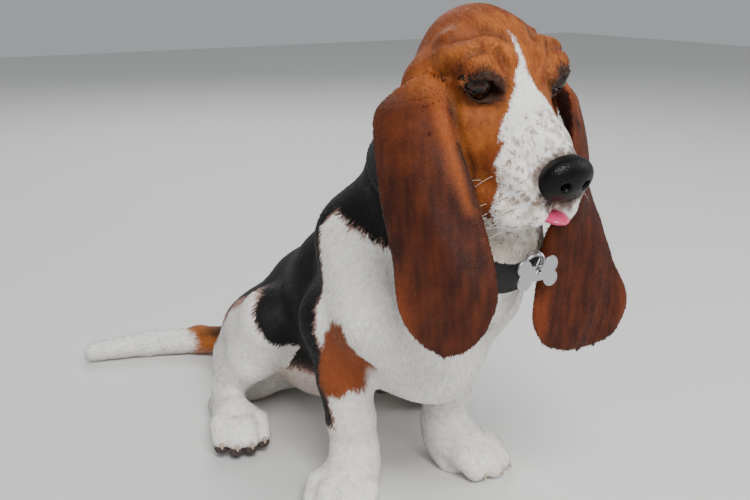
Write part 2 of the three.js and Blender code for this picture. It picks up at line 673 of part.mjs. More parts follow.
function depthAt(clay, point) {
  const place = point.toArray().map((edge, axis) => (edge - clay.low[axis]) / clay.step);
  const cell = place.map(Math.floor);
  const share = place.map((edge, axis) => edge - cell[axis]);
  let sum = 0;
  for (let corner = 0; corner < 8; corner++) {
    const bits = [corner & 1, (corner >> 1) & 1, corner >> 2];
    const weight = bits.reduce((product, bit, axis) => product * (bit ? share[axis] : 1 - share[axis]), 1);
    const [i, j, k] = cell.map((start, axis) => start + bits[axis]);
    sum += weight * clay.value[(i * clay.count[1] + j) * clay.count[2] + k];
  }
  return sum;
}

function collarPoint(angle, along, outward) {
  const way = collarBack.clone().multiplyScalar(-Math.cos(angle)).addScaledVector(headLeft, Math.sin(angle));
  const start = collarMiddle.clone().addScaledVector(collarAxis, along);
  let radius = 20;
  while (depthAt(neckClay, start.clone().addScaledVector(way, radius)) < -COLLAR_SINK) radius += 0.25;
  return start.addScaledVector(way, radius + outward);
}

function band(grow) {
  const turns = 56;
  const rows = [
    [-COLLAR_WIDTH / 2 - grow, -grow], [-COLLAR_WIDTH / 2 - grow, COLLAR_THICKNESS + grow],
    [0, COLLAR_THICKNESS + grow], [COLLAR_WIDTH / 2 + grow, COLLAR_THICKNESS + grow],
    [COLLAR_WIDTH / 2 + grow, -grow], [0, -grow],
  ];
  const corners = [];
  const faces = [];
  for (let turn = 0; turn < turns; turn++) {
    for (const [along, outward] of rows) {
      corners.push(collarPoint((turn / turns) * 2 * Math.PI, along, outward).toArray());
    }
  }
  for (let turn = 0; turn < turns; turn++) {
    for (let row = 0; row < rows.length; row++) {
      const next = (row + 1) % rows.length;
      const [here, there] = [turn * rows.length, ((turn + 1) % turns) * rows.length];
      faces.push([here + row, there + row, there + next], [here + row, there + next, here + next]);
    }
  }
  return solidFrom({ corners, faces });
}

// A welded ring stands in a keeper at the front of the collar, its top leaning forward. A split ring
// hangs from its top, turned across it, and the bare tag hangs from the split ring.
const COLLAR_RING = { radius: 7.5, wire: 1.2 };
const COLLAR_RING_LEAN = THREE.MathUtils.degToRad(25);
const SPLIT_RING = { radius: 6, wire: 0.9 };
const SPLIT_RING_TURN = THREE.MathUtils.degToRad(-70);
const KEEPER = { low: [0.5, -145.7, 199.5], high: [7.5, -137.5, 207.5] };
const ringFoot = new THREE.Vector3(4, -143, 203.5);
const ringWay = new THREE.Vector3(0, -Math.sin(COLLAR_RING_LEAN), Math.cos(COLLAR_RING_LEAN));
const ringMiddle = ringFoot.clone().addScaledVector(ringWay, COLLAR_RING.radius);
const ringTop = ringFoot.clone().addScaledVector(ringWay, 2 * COLLAR_RING.radius);
const splitDrop = SPLIT_RING.radius - COLLAR_RING.wire - SPLIT_RING.wire - 2 * GAP;
const splitMiddle = ringTop.clone().add(new THREE.Vector3(0, 0, -splitDrop));

function ringSolid(ring, middle, turn, grow = 0) {
  const place = turn.clone().setPosition(middle);
  return solidOf(new THREE.TorusGeometry(ring.radius, ring.wire + grow, 8, 28), place);
}

const upright = new THREE.Matrix4().makeRotationX(Math.PI / 2);
const leaning = new THREE.Matrix4().makeRotationX(Math.PI / 2 + COLLAR_RING_LEAN);
const crossing = new THREE.Matrix4().makeRotationZ(SPLIT_RING_TURN).multiply(upright);
const collar = band(0).add(block(KEEPER.low, KEEPER.high))
  .subtract(ringSolid(COLLAR_RING, ringMiddle, leaning, GAP));
dog.add(meshOf("collar", largest(collar), NYLON));
dog.add(meshOf("collar_ring", ringSolid(COLLAR_RING, ringMiddle, leaning), STEEL));
dog.add(meshOf("split_ring", ringSolid(SPLIT_RING, splitMiddle, crossing), STEEL));

// The tag is a bone: two round knobs at each end of a bar, with a hole near its upper edge.
const TAG_KNOB = 5.5;
const TAG_BAR = 5;
const TAG_HOLE = 2.2;
const TAG_HOLE_RISE = 1.8;
const TAG_FORWARD = 1.6;
function tagSolid() {
  const drop = SPLIT_RING.radius + TAG_HOLE - SPLIT_RING.wire - 3 * GAP + TAG_HOLE_RISE;
  const x = splitMiddle.x - TAG_FORWARD / Math.tan(SPLIT_RING_TURN);
  const y = splitMiddle.y - TAG_FORWARD;
  const z = splitMiddle.z - drop;
  const disc = (across, up, radius, thickness) =>
    solidOf(new THREE.CylinderGeometry(radius, radius, thickness, 24),
      new THREE.Matrix4().makeTranslation(x + across, y, z + up));
  const knobAcross = TAG_LENGTH / 2 - TAG_KNOB;
  let tag = block(
    [x - knobAcross, y - TAG_THICKNESS / 2, z - TAG_BAR],
    [x + knobAcross, y + TAG_THICKNESS / 2, z + TAG_BAR]);
  for (const across of [-knobAcross, knobAcross]) {
    for (const up of [-TAG_KNOB + 1, TAG_KNOB - 1]) {
      tag = tag.add(disc(across, up, TAG_KNOB, TAG_THICKNESS));
    }
  }
  return tag.subtract(disc(0, TAG_HOLE_RISE, TAG_HOLE, 3 * TAG_THICKNESS));
}
dog.add(meshOf("tag", tagSolid(), STEEL));

const neck = flesh([-80, -150, 150], [80, 50, 350], 3, 700)
  .intersect(past(neckCut)).intersect(before(jawCut)).subtract(band(GAP))
  .subtract(block(KEEPER.low, KEEPER.high, GAP));
dog.add(meshOf("neck", largest(neck), WHITE_FUR));

// An ear hangs as a bent oval strip. Each row holds the height, the middle, the squared half widths
// towards the front and rear edge in hundreds, the turn of the strip and how far it bulges.
const EAR_ROWS = {
  [RIGHT]: [
    [324, -46, -104, 0, 0, -68, -3], [316, -52, -105, 2.6, 2.6, -66, -5],
    [304, -60, -107, 5.6, 5.4, -64, -8], [287, -63, -117, 7.2, 7.4, -62, -10],
    [250, -62, -131, 9, 9.4, -58, -8], [205, -60, -143, 9.6, 9.2, -56, -7],
    [185, -61, -143, 7, 6.6, -56, -5], [174, -61.5, -145, 3.2, 3.4, -56, -3],
    [165, -62, -147, 0, 0, -56, 0],
  ],
  [LEFT]: [
    [324, 46, -104, 0, 0, -112, 3], [316, 52, -105, 2.6, 2.6, -114, 5], [304, 57, -108, 4.6, 4.6, -118, 8],
    [287, 56, -116, 5.4, 5.2, -126, 9], [258, 51, -129, 4.4, 4.6, -140, 8],
    [240, 46, -136, 4.6, 4.6, -160, 7], [225, 44, -140, 6, 5, -178, 6],
    [205, 47, -142, 8.4, 6.2, -186, 5], [172, 50, -143, 12.4, 13, -188, 4],
    [152, 50, -143, 7, 8, -188, 2], [143, 50, -143, 0, 0, -188, 0],
  ],
};

// A value of the ear rows at any height, on a smooth curve that never swings past the rows.
function earValue(rows, height, column) {
  const last = rows.length - 1;
  const slope = (n) => (rows[n + 1][column] - rows[n][column]) / (rows[n + 1][0] - rows[n][0]);
  const lean = (n) => {
    if (n === 0) return slope(0);
    if (n === last) return slope(last - 1);
    const [a, b] = [slope(n - 1), slope(n)];
    return a * b <= 0 ? 0 : (2 * a * b) / (a + b);
  };
  let n = 0;
  while (n < last - 1 && height < rows[n + 1][0]) n++;
  const span = rows[n + 1][0] - rows[n][0];
  const t = (height - rows[n][0]) / span;
  return (2 * t ** 3 - 3 * t ** 2 + 1) * rows[n][column] + (t ** 3 - 2 * t ** 2 + t) * span * lean(n) +
    (3 * t ** 2 - 2 * t ** 3) * rows[n + 1][column] + (t ** 3 - t ** 2) * span * lean(n + 1);
}

// A crease runs down the upper ear towards its front edge.
function earCrease(across, height) {
  const line = 8 + 0.28 * (323 - height);
  const fade = THREE.MathUtils.smoothstep(height, 245, 262);
  return 1.5 * fade * Math.exp(-(((across - line) / 4) ** 2));
}

function earSolid(side, grow) {
  const rows = EAR_ROWS[side];
  const levels = 18;
  const turns = 24;
  const [top, tip] = [rows[0][0] + grow, rows[rows.length - 1][0] - grow];
  const corners = [];
  const faces = [];
  for (let level = 0; level <= levels; level++) {
    const height = tip + (top - tip) * (0.5 + 0.5 * Math.cos((Math.PI * level) / levels));
    const inRows = Math.min(rows[0][0], Math.max(rows[rows.length - 1][0], height));
    const [x, y, front, rear, turnDegrees, bulge] = [1, 2, 3, 4, 5, 6].map((c) => earValue(rows, inRows, c));
    const turn = THREE.MathUtils.degToRad(turnDegrees);
    const ringCount = level === 0 || level === levels ? 1 : turns;
    for (let n = 0; n < ringCount; n++) {
      const angle = (n / turns) * 2 * Math.PI;
      const share = ringCount === 1 ? 0 : Math.cos(angle);
      const halfWidth = 10 * Math.sqrt(Math.max(share > 0 ? front : rear, 0)) + EAR_HALF_THICKNESS + grow;
      const away = Math.sign(Math.sin(angle)) * Math.sqrt(Math.abs(Math.sin(angle)));
      const across = ringCount === 1 ? 0 : halfWidth * share;
      const sheet = bulge * (1 - share * share) - side * earCrease(across, inRows);
      const out = sheet + (ringCount === 1 ? 0 : away * (EAR_HALF_THICKNESS + grow));
      corners.push([
        x + across * Math.cos(turn) - out * Math.sin(turn),
        y + across * Math.sin(turn) + out * Math.cos(turn),
        height,
      ]);
    }
  }
  const ring = (level, n) => {
    if (level === 0) return 0;
    return level === levels ? corners.length - 1 : 1 + (level - 1) * turns + (n % turns);
  };
  for (let level = 0; level < levels; level++) {
    for (let n = 0; n < turns; n++) {
      const quad = [ring(level, n), ring(level + 1, n), ring(level + 1, n + 1), ring(level, n + 1)];
      if (level < levels - 1) faces.push([quad[0], quad[1], quad[2]]);
      if (level > 0) faces.push([quad[0], quad[2], quad[3]]);
    }
  }
  return solidFrom({ corners, faces });
}

let head = flesh([-75, -200, 215], [75, 10, 380], 1.8, 3520).intersect(past(jawCut));
for (const side of SIDES) {
  dog.add(meshOf(`ear_${sideName(side)}`, earSolid(side, 0), BROWN_FUR));
  head = head.subtract(earSolid(side, GAP));
}

// The eyes sit deep under the brows.
for (const side of SIDES) {
  const place = new THREE.Matrix4().setPosition(...onHead(-7, side * EYE_SPREAD, -2));
  const ball = (radius) => solidOf(new THREE.SphereGeometry(radius, 16, 10), place);
  dog.add(meshOf(`eye_${sideName(side)}`, ball(EYE_RADIUS), EYE_DARK));
  head = head.subtract(ball(EYE_RADIUS + GAP));
}

// The nose leather is cut from the end of the muzzle.
function noseBlock(grow) {
  const size = new THREE.BoxGeometry(30 + 2 * grow, 60 + 2 * grow, 36 + 2 * grow);
  return solidOf(size, headFrame.clone().multiply(new THREE.Matrix4().setPosition(71, 0, -19)));
}
const nose = flesh([-30, -200, 235], [30, -150, 300], 1.5, 420).intersect(noseBlock(0));
dog.add(meshOf("nose", largest(nose), NOSE_LEATHER));
head = head.subtract(noseBlock(GAP));

// The tip of the tongue shows between the lips.
function tongueSolid(grow) {
  const place = new THREE.Matrix4().makeTranslation(0, -164, 246.5)
    .multiply(new THREE.Matrix4().makeRotationX(THREE.MathUtils.degToRad(12)))
    .multiply(new THREE.Matrix4().makeScale(9.5 + grow, 14 + grow, 3.4 + grow));
  return solidOf(new THREE.SphereGeometry(1, 14, 9), place);
}
dog.add(meshOf("tongue", tongueSolid(0), TONGUE_PINK));
head = head.subtract(tongueSolid(GAP));
dog.add(meshOf("head", largest(head), TAN_FUR));

// The origin lies under the middle of the dog, on the floor.
const bounds = new THREE.Box3().setFromObject(dog);
const middle = bounds.getCenter(new THREE.Vector3());
dog.position.set(-middle.x, -middle.y, -bounds.min.z);

export default dog;
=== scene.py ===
# A sitting basset hound puppy, about four months old, finished as a museum model around its solids.
# Forms are worked out in millimetres from the floor midway between the front wrists, the dog facing -Y
# with its left side at +X, and are moved into the frame in metres when each mesh is made.
import math

import bpy
import numpy as np
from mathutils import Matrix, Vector


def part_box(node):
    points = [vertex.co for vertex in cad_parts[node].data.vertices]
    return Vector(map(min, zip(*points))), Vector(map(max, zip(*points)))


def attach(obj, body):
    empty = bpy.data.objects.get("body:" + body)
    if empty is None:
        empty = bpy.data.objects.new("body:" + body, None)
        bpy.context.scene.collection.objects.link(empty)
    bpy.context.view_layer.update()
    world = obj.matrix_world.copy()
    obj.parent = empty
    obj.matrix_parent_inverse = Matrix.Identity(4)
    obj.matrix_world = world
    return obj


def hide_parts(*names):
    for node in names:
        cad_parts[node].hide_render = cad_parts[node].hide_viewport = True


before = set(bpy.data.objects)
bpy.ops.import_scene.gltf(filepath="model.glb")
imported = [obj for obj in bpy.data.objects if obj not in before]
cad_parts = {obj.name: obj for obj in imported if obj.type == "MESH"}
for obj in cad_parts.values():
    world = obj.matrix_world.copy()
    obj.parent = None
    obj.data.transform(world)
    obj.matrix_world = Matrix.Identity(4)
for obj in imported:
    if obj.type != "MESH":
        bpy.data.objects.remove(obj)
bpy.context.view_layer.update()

# The camera stands to the dog's front right, a little above its head, as the photographer's did.
# Its angle of view comes from the spread of the paws and the tail on the ground. The focal length and the
# height of the horizon over the picture's middle are in pixels.
HEAD_BOW = math.radians(32)
FORWARD = np.array([0, -math.cos(HEAD_BOW), -math.sin(HEAD_BOW)])
LEFTWARD = np.array([1.0, 0, 0])
UPWARD = np.array([0, -math.sin(HEAD_BOW), math.cos(HEAD_BOW)])
BETWEEN_EYES = np.array([0, -134.0, 321.0])
SIDES = (-1, 1)


def on_head(forward, left, up, *radius):
    """A place measured from between the eyes along the head's own forward, left and up."""
    place = BETWEEN_EYES + forward * FORWARD + left * LEFTWARD + up * UPWARD
    return (*place, *radius)


eye_low, eye_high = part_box("eye_left")
EYE_BACK, EYE_SPREAD, EYE_DROP = -7, 29, -2
ORIGIN_SHIFT = np.array((eye_low + eye_high) / 2) * 1000 - np.array(on_head(EYE_BACK, EYE_SPREAD, EYE_DROP))


def in_metres(places):
    """Millimetres from between the wrists, turned into metres in the frame."""
    return (np.asarray(places, float) + ORIGIN_SHIFT) / 1000


FOCAL_LENGTH, HORIZON_RISE, PICTURE_WIDTH = 950, 280, 750
VIEW_TURN = math.radians(32)
VIEW_DIP = math.atan2(HORIZON_RISE, FOCAL_LENGTH)
camera_data = bpy.data.cameras.new("camera")
camera_data.sensor_width = 36
camera_data.lens = FOCAL_LENGTH / PICTURE_WIDTH * camera_data.sensor_width
camera_data.clip_start = 0.05
camera = bpy.data.objects.new("camera", camera_data)
bpy.context.collection.objects.link(camera)
ASIDE, AWAY, EYE_LEVEL = 16.4, 683.6, 385
camera.location = in_metres((
    -ASIDE * math.cos(VIEW_TURN) - AWAY * math.sin(VIEW_TURN),
    ASIDE * math.sin(VIEW_TURN) - AWAY * math.cos(VIEW_TURN),
    EYE_LEVEL,
))
looking = Vector((
    math.sin(VIEW_TURN) * math.cos(VIEW_DIP), math.cos(VIEW_TURN) * math.cos(VIEW_DIP), -math.sin(VIEW_DIP)
))
camera.rotation_euler = looking.to_track_quat("-Z", "Y").to_euler()
bpy.context.scene.camera = camera


# The studio is a pale painted floor with two soft boxes and even light from the walls around it.
def linear(colour):
    """An sRGB hex colour as linear red, green, blue and alpha."""
    parts = [int(colour[n:n + 2], 16) / 255 for n in (1, 3, 5)]
    return [part / 12.92 if part <= 0.04045 else ((part + 0.055) / 1.055) ** 2.4 for part in parts] + [1.0]


def node(tree, kind, settings=None, links=None):
    """Adds a node, sets its properties and socket values, and links its inputs."""
    made = tree.nodes.new(kind)
    for name, value in (settings or {}).items():
        if isinstance(name, int) or name in made.inputs:
            made.inputs[name].default_value = value
        else:
            setattr(made, name, value)
    for name, source in (links or {}).items():
        tree.links.new(source, made.inputs[name])
    return made


def surface(name, **values):
    """A new material and its principled shader with the given socket values."""
    material = bpy.data.materials.new(name)
    material.use_nodes = True
    shader = material.node_tree.nodes["Principled BSDF"]
    for socket, value in values.items():
        shader.inputs[socket.replace("_", " ")].default_value = value
    return material, material.node_tree, shader


def bumped(tree, shader, height, strength, depth):
    """Roughens a material by a height socket; depth is in metres."""
    bump = node(tree, "ShaderNodeBump", {"Strength": strength, "Distance": depth}, {"Height": height})
    tree.links.new(bump.outputs["Normal"], shader.inputs["Normal"])


floor_paint, _, _ = surface("matt_floor_paint", Base_Color=linear("#dcdbd8"), Roughness=0.9, IOR=1.45)
bpy.ops.mesh.primitive_plane_add(size=8)
floor = bpy.context.object
floor.name = "floor"
floor.data.materials.append(floor_paint)
world = bpy.data.worlds.new("pale_walls")
bpy.context.scene.world = world
world.use_nodes = True
world.node_tree.nodes["Background"].inputs["Color"].default_value = linear("#e9edf2")
world.node_tree.nodes["Background"].inputs["Strength"].default_value = 0.45
for name, spot, size, watts in (
    ("key_box", (-0.5, -1.5, 1.7), 0.9, 50), ("fill_box", (1.6, -0.9, 1.2), 1.4, 14),
    ("rim_box", (0.6, 1.6, 1.6), 1.0, 20),
):
    light_data = bpy.data.lights.new(name, "AREA")
    light_data.size = size
    light_data.energy = watts
    light = bpy.data.objects.new(name, light_data)
    light.location = spot
    light.rotation_euler = (Vector((0, 0, 0.18)) - light.location).to_track_quat("-Z", "Y").to_euler()
    bpy.context.collection.objects.link(light)


# The hide is one closed skin over head, ears, trunk, legs and tail, shaped as a sculptor lays clay over an
# armature, from the same lengths and ovals as the solids. It lies inside them by the depth of the coat.
COAT_DEPTH = 1.0
EAR_HALF_THICKNESS = 2.6
FLOOR_CLEARANCE = 0.2
FAR = 60


def grid_lines(*spans):
    """Places along one axis, from spans of start, end and step."""
    return np.concatenate([np.arange(start, end, step) for start, end, step in spans]).astype(np.float32)


class Clay:
    """Samples of the distance to a surface, below zero inside it."""

    def __init__(self, xs, ys, zs):
        self.axes = (xs, ys, zs)
        self.value = np.full([len(axis) for axis in self.axes], FAR, np.float32)

    def part(self, low, high):
        """The samples inside a box and their places."""
        cut = tuple(
            slice(max(0, np.searchsorted(axis, low[n]) - 1), np.searchsorted(axis, high[n]) + 1)
            for n, axis in enumerate(self.axes)
        )
        x, y, z = (axis[cut[n]] for n, axis in enumerate(self.axes))
        return cut, (x[:, None, None], y[None, :, None], z[None, None, :])


def smooth_min(a, b, blend):
    """The lesser of two distances, rounded off where they are nearly the same."""
    share = np.maximum(blend - np.abs(a - b), 0) / blend
    return np.minimum(a, b) - share * share * blend * 0.25


def along_line(places, start, end):
    """Distance to the line between two points, and how far along it the nearest place is."""
    run = [end[n] - start[n] for n in range(3)]
    away = [places[n] - start[n] for n in range(3)]
    along = sum(away[n] * run[n] for n in range(3)) / sum(length * length for length in run)
    along = np.clip(along, 0, 1)
    return np.sqrt(sum((away[n] - along * run[n]) ** 2 for n in range(3))), along


def box_around(points, margin):
    """Low and high corners round points, with their radius where they have one, and a margin."""
    radius = [point[3] if len(point) > 3 else 0 for point in points]
    low = [min(p[n] - r for p, r in zip(points, radius)) - margin for n in range(3)]
    high = [max(p[n] + r for p, r in zip(points, radius)) + margin for n in range(3)]
    return low, high


def add_limb(clay, blend, inner_blend, *stations):
    """Adds a chain of round, tapering lengths through stations of x, y, z and radius."""
    cut, places = clay.part(*box_around(stations, blend + 6))
    if clay.value[cut].size == 0:
        return
    made = FAR
    for start, end in zip(stations, stations[1:]):
        distance, along = along_line(places, start, end)
        made = smooth_min(made, distance - start[3] - along * (end[3] - start[3]), inner_blend)
    clay.value[cut] = smooth_min(clay.value[cut], made, blend)


def oval_distance(places, centre, radii):
    """Distance to an ellipsoid whose radii lie along the head's forward, left and up."""
    near, steep = 0, 1e-6
    for axis, radius in zip((FORWARD, LEFTWARD, UPWARD), radii):
        along = sum((places[n] - centre[n]) * axis[n] for n in range(3))
        near = near + (along / radius) ** 2
        steep = steep + (along / radius ** 2) ** 2
    return np.sqrt(near) * (np.sqrt(near) - 1) / np.sqrt(steep)


def add_oval(clay, blend, centre, radii, cut_away=False):
    """Adds an ellipsoid to the clay, or cuts one out of it."""
    cut, places = clay.part(*box_around([centre], max(radii) + blend + 6))
    if clay.value[cut].size == 0:
        return
    oval = oval_distance(places, centre, radii)
    if cut_away:
        clay.value[cut] = -smooth_min(-clay.value[cut], oval, blend)
    else:
        clay.value[cut] = smooth_min(clay.value[cut], oval, blend)


def add_groove(clay, depth, width, *line):
    """Presses a groove into the surface along a line of points, or raises a ridge at a depth below zero."""
    cut, places = clay.part(*box_around(line, 3 * width))
    if clay.value[cut].size == 0:
        return
    near = FAR
    for start, end in zip(line, line[1:]):
        near = np.minimum(near, along_line(places, start, end)[0])
    clay.value[cut] += depth * np.exp(-((near / width) ** 2))


def sculpt_trunk(clay):
    """Rib cage and loin down to the rump, with the forechest and belly under them."""
    add_limb(clay, 16, 10, (0, -30, 150, 55), (0, -5, 158, 58), (0, 45, 140, 60), (0, 112, 106, 53),
             (0, 178, 68, 45))
    add_limb(clay, 26, 26, (0, -62, 146, 26), (0, -48, 114, 27), (0, -20, 104, 30))
    add_limb(clay, 24, 24, (0, 20, 92, 30), (0, 110, 62, 34), (0, 160, 46, 34))


def sculpt_neck(clay):
    """The neck, and the loose dewlap hanging in front of it."""
    add_limb(clay, 22, 10, (0, -12, 200, 50), (0, -48, 250, 46), (0, -84, 300, 42))
    add_limb(clay, 22, 22, (0, -88, 188, 36), (0, -106, 222, 31), (0, -104, 260, 24))


def sculpt_legs(clay, side):
    """Shoulder, upper arm and foreleg, then thigh, folded lower leg, hock and buttock."""
    add_limb(clay, 20, 10, (side * 34, -2, 200, 32), (side * 44, -44, 158, 31), (side * 54, -2, 140, 25))
    add_limb(clay, 14, 4, (side * 54, -2, 140, 24), (side * 52, -8, 95, 20), (side * 45, -7, 60, 19),
             (side * 42, -6, 38, 18.5), (side * 44, -12, 24, 18))
    add_limb(clay, 18, 8, (side * 34, 168, 70, 38), (side * 52, 122, 92, 33), (side * 62, 92, 112, 24))
    add_limb(clay, 12, 4, (side * 62, 92, 112, 23), (side * 70, 114, 72, 20), (side * 80, 148, 36, 15))
    add_limb(clay, 10, 4, (side * 82, 158, 12, 13), (side * 87, 126, 22, 16), (side * 90, 108, 25, 17))
    add_limb(clay, 20, 8, (side * 40, 186, 34, 36), (side * 34, 208, 34, 32))


TAIL_LINE = (
    (0, 222, 40, 18), (-8, 262, 24, 15), (-40, 310, 15, 14), (-90, 334, 13, 13), (-140, 346, 11, 10.5),
)


def paw_placer(side, reach, spread, turn_out):
    """A paw's own frame, turned out from the dog's front."""
    turn = math.radians(turn_out)

    def place(forward, outward, up, *radius):
        return (
            side * (spread + forward * math.sin(turn) + outward * math.cos(turn)),
            reach - forward * math.cos(turn) + outward * math.sin(turn), up, *radius,
        )
    return place


FRONT_PAW = {-1: paw_placer(-1, -9, 44, 50), 1: paw_placer(1, -8, 44, 26)}
HIND_PAW = {side: paw_placer(side, 106, 90, 14) for side in SIDES}
FRONT_TOES = ((-18, 36), (-6.5, 45), (6.5, 45), (18, 36))
HIND_TOES = ((-16, 20), (-5.5, 27), (5.5, 27), (16, 20))


def sculpt_paws(clay, side):
    """Each paw has four knuckled toes round its middle."""
    place = FRONT_PAW[side]
    add_limb(clay, 10, 10, place(0, 0, 22, 19), place(18, 0, 18, 19))
    for outward, reach in FRONT_TOES:
        add_limb(clay, 4, 4, place(10, outward * 0.7, 18, 11), place(reach - 10, outward, 17, 10.5),
                 place(reach, outward * 1.06, 9.5, 9.5))
    add_oval(clay, 8, place(10, 0, 8), (22, 22, 11))
    place = HIND_PAW[side]
    for outward, reach in HIND_TOES:
        add_limb(clay, 4, 4, place(-6, outward * 0.7, 23, 10), place(reach - 8, outward, 25, 9),
                 place(reach, outward * 1.05, 17, 8.5))
    add_limb(clay, 8, 8, place(-8, 0, 12, 13), place(12, 0, 11, 12))


def sculpt_head(clay):
    """Domed skull, brows, cheeks, a deep square muzzle with hanging flews, and the nose on its end."""
    add_oval(clay, 14, on_head(-36, 0, -22), (47, 37, 44))
    add_limb(clay, 14, 14, on_head(-20, 0, -9, 29), on_head(4, 0, -18, 21))
    add_limb(clay, 10, 6, on_head(0, 0, -18, 18), on_head(28, 0, -20, 17), on_head(50, 0, -21, 15))
    add_limb(clay, 12, 12, on_head(-40, 0, -50, 24), on_head(0, 0, -56, 18), on_head(48, 0, -54, 10))
    for side in SIDES:
        add_limb(clay, 10, 6, on_head(-34, side * 29, -2, 13), on_head(-12, side * 29, 3, 11),
                 on_head(0, side * 19, 1, 8))
        add_limb(clay, 12, 8, on_head(-38, side * 33, -30, 18), on_head(-10, side * 31, -34, 16),
                 on_head(10, side * 26, -42, 15))
        add_limb(clay, 8, 6, on_head(0, side * 17, -34, 19), on_head(28, side * 13, -28, 15),
                 on_head(28, side * 15, -36, 17), on_head(54, side * 12, -34, 14))
        add_limb(clay, 8, 6, on_head(10, side * 24, -50, 14), on_head(38, side * 22, -55, 12.5),
                 on_head(52, side * 19, -53, 12), on_head(62, side * 10, -47, 10))
    add_oval(clay, 3, on_head(62, 0, -21), (11, 19, 15))
    add_groove(clay, 1.5, 2, on_head(73, 0, -30), on_head(69, 0, -45))
    for side in SIDES:
        sculpt_eyelids(clay, side)
        sculpt_folds(clay, side)
        add_oval(clay, 1.5, on_head(72, side * 7.5, -19), (6, 2.9, 2.6), cut_away=True)


LID_RADIUS = 2.2
UPPER_LID = ((4, 18.5, -3), (3, 23, 4), (1.5, 29, 6), (-1, 35, 4), (-5, 40, -2))
LOWER_LID = ((4, 18.5, -3), (3, 23, -8), (2, 29, -10), (-1, 35, -8.5), (-5, 40, -2))
LIDS_HALF_LENGTH, LIDS_MIDDLE, UPPER_ARCH, LOWER_ARCH, LIDS_DEPTH = 10, -2, 6, 6.5, 8


def sculpt_eyelids(clay, side):
    """Two thick lids lie round each eye, the lower one drooping, and open in the shape of an almond."""
    for lid in (UPPER_LID, LOWER_LID):
        add_limb(clay, 3, 2, *(on_head(f, side * l, u, LID_RADIUS) for f, l, u in lid))
    cut, places = clay.part(*box_around([on_head(0, side * EYE_SPREAD, 0)], 2 * LIDS_HALF_LENGTH))
    if clay.value[cut].size == 0:
        return
    f, l, u = (
        sum((places[n] - BETWEEN_EYES[n]) * axis[n] for n in range(3))
        for axis in (FORWARD, LEFTWARD, UPWARD)
    )
    arch = 1 - ((side * l - EYE_SPREAD) / LIDS_HALF_LENGTH) ** 2
    outside = np.maximum(u - LIDS_MIDDLE - UPPER_ARCH * arch, LIDS_MIDDLE - LOWER_ARCH * arch - u)
    outside = np.maximum(outside, -f - LIDS_DEPTH)
    clay.value[cut] = np.maximum(clay.value[cut], -outside)


def sculpt_folds(clay, side):
    """The loose folds over the brows and behind the cheeks, and the lips parting over the lower jaw."""
    for depth, width, *line in (
        (3, 3.5, (-44, 40, -5), (-35, 38, 6), (-31, 29, 11), (-29, 20, 15), (-23, 13, 18), (-15, 10, 19)),
        (-3, 4.5, (-27, 41, -8), (-23, 40, 5), (-19, 33, 12), (-19, 21, 15), (-13, 14, 17), (-5, 11, 13)),
        (3, 3, (-17, 39, -7), (-12, 40, 8), (-13, 31, 14), (-11, 19, 15), (1, 15, 10), (9, 15, 1)),
        (3, 3.5, (-8, 38, -17), (5, 39, -28), (15, 38, -36), (24, 35, -44), (28, 31, -54)),
        (2.5, 3.5, (-26, 44, -10), (-18, 49, -28), (-6, 46, -46), (2, 38, -60)),
        (3, 3.5, (69, 0, -45), (66, 8, -52), (56, 14, -62), (38, 17, -67), (12, 18, -69), (-8, 22, -66)),
    ):
        add_groove(clay, depth, width, *(on_head(f, side * l, u) for f, l, u in line))


# An ear is a bent oval strip. Each row holds the height, the middle, the squared half widths towards the
# front and rear edge in hundreds, the turn of the strip and how far it bulges.
EAR_ROWS = {
    -1: ((324, -46, -104, 0, 0, -68, -3), (316, -52, -105, 2.6, 2.6, -66, -5),
         (304, -60, -107, 5.6, 5.4, -64, -8), (287, -63, -117, 7.2, 7.4, -62, -10),
         (250, -62, -131, 9, 9.4, -58, -8), (205, -60, -143, 9.6, 9.2, -56, -7),
         (185, -61, -143, 7, 6.6, -56, -5), (174, -61.5, -145, 3.2, 3.4, -56, -3),
         (165, -62, -147, 0, 0, -56, 0)),
    1: ((324, 46, -104, 0, 0, -112, 3), (316, 52, -105, 2.6, 2.6, -114, 5),
        (304, 57, -108, 4.6, 4.6, -118, 8), (287, 56, -116, 5.4, 5.2, -126, 9),
        (258, 51, -129, 4.4, 4.6, -140, 8), (240, 46, -136, 4.6, 4.6, -160, 7),
        (225, 44, -140, 6, 5, -178, 6), (205, 47, -142, 8.4, 6.2, -186, 5),
        (172, 50, -143, 12.4, 13, -188, 4), (152, 50, -143, 7, 8, -188, 2),
        (143, 50, -143, 0, 0, -188, 0)),
}


def ear_values(side, height):
    """The values of the ear rows at any heights, on smooth curves that never swing past the rows."""
    rows = np.array(EAR_ROWS[side], float)[::-1]
    steps = np.diff(rows[:, 0])[:, None]
    slopes = np.diff(rows[:, 1:], axis=0) / steps
    product = slopes[:-1] * slopes[1:]
    total = slopes[:-1] + slopes[1:]
    inner = np.where(product > 0, 2 * product / np.where(np.abs(total) < 1e-9, 1, total), 0)
    leans = np.concatenate([slopes[:1], inner, slopes[-1:]])
    height = np.clip(height, rows[0, 0], rows[-1, 0])
    row = np.clip(np.searchsorted(rows[:, 0], height, side="right") - 1, 0, len(rows) - 2)
    span = steps[row]
    t = ((height - rows[row, 0])[..., None]) / span
    return (
        (2 * t ** 3 - 3 * t ** 2 + 1) * rows[row, 1:] + (t ** 3 - 2 * t ** 2 + t) * span * leans[row]
        + (3 * t ** 2 - 2 * t ** 3) * rows[row + 1, 1:] + (t ** 3 - t ** 2) * span * leans[row + 1]
    )


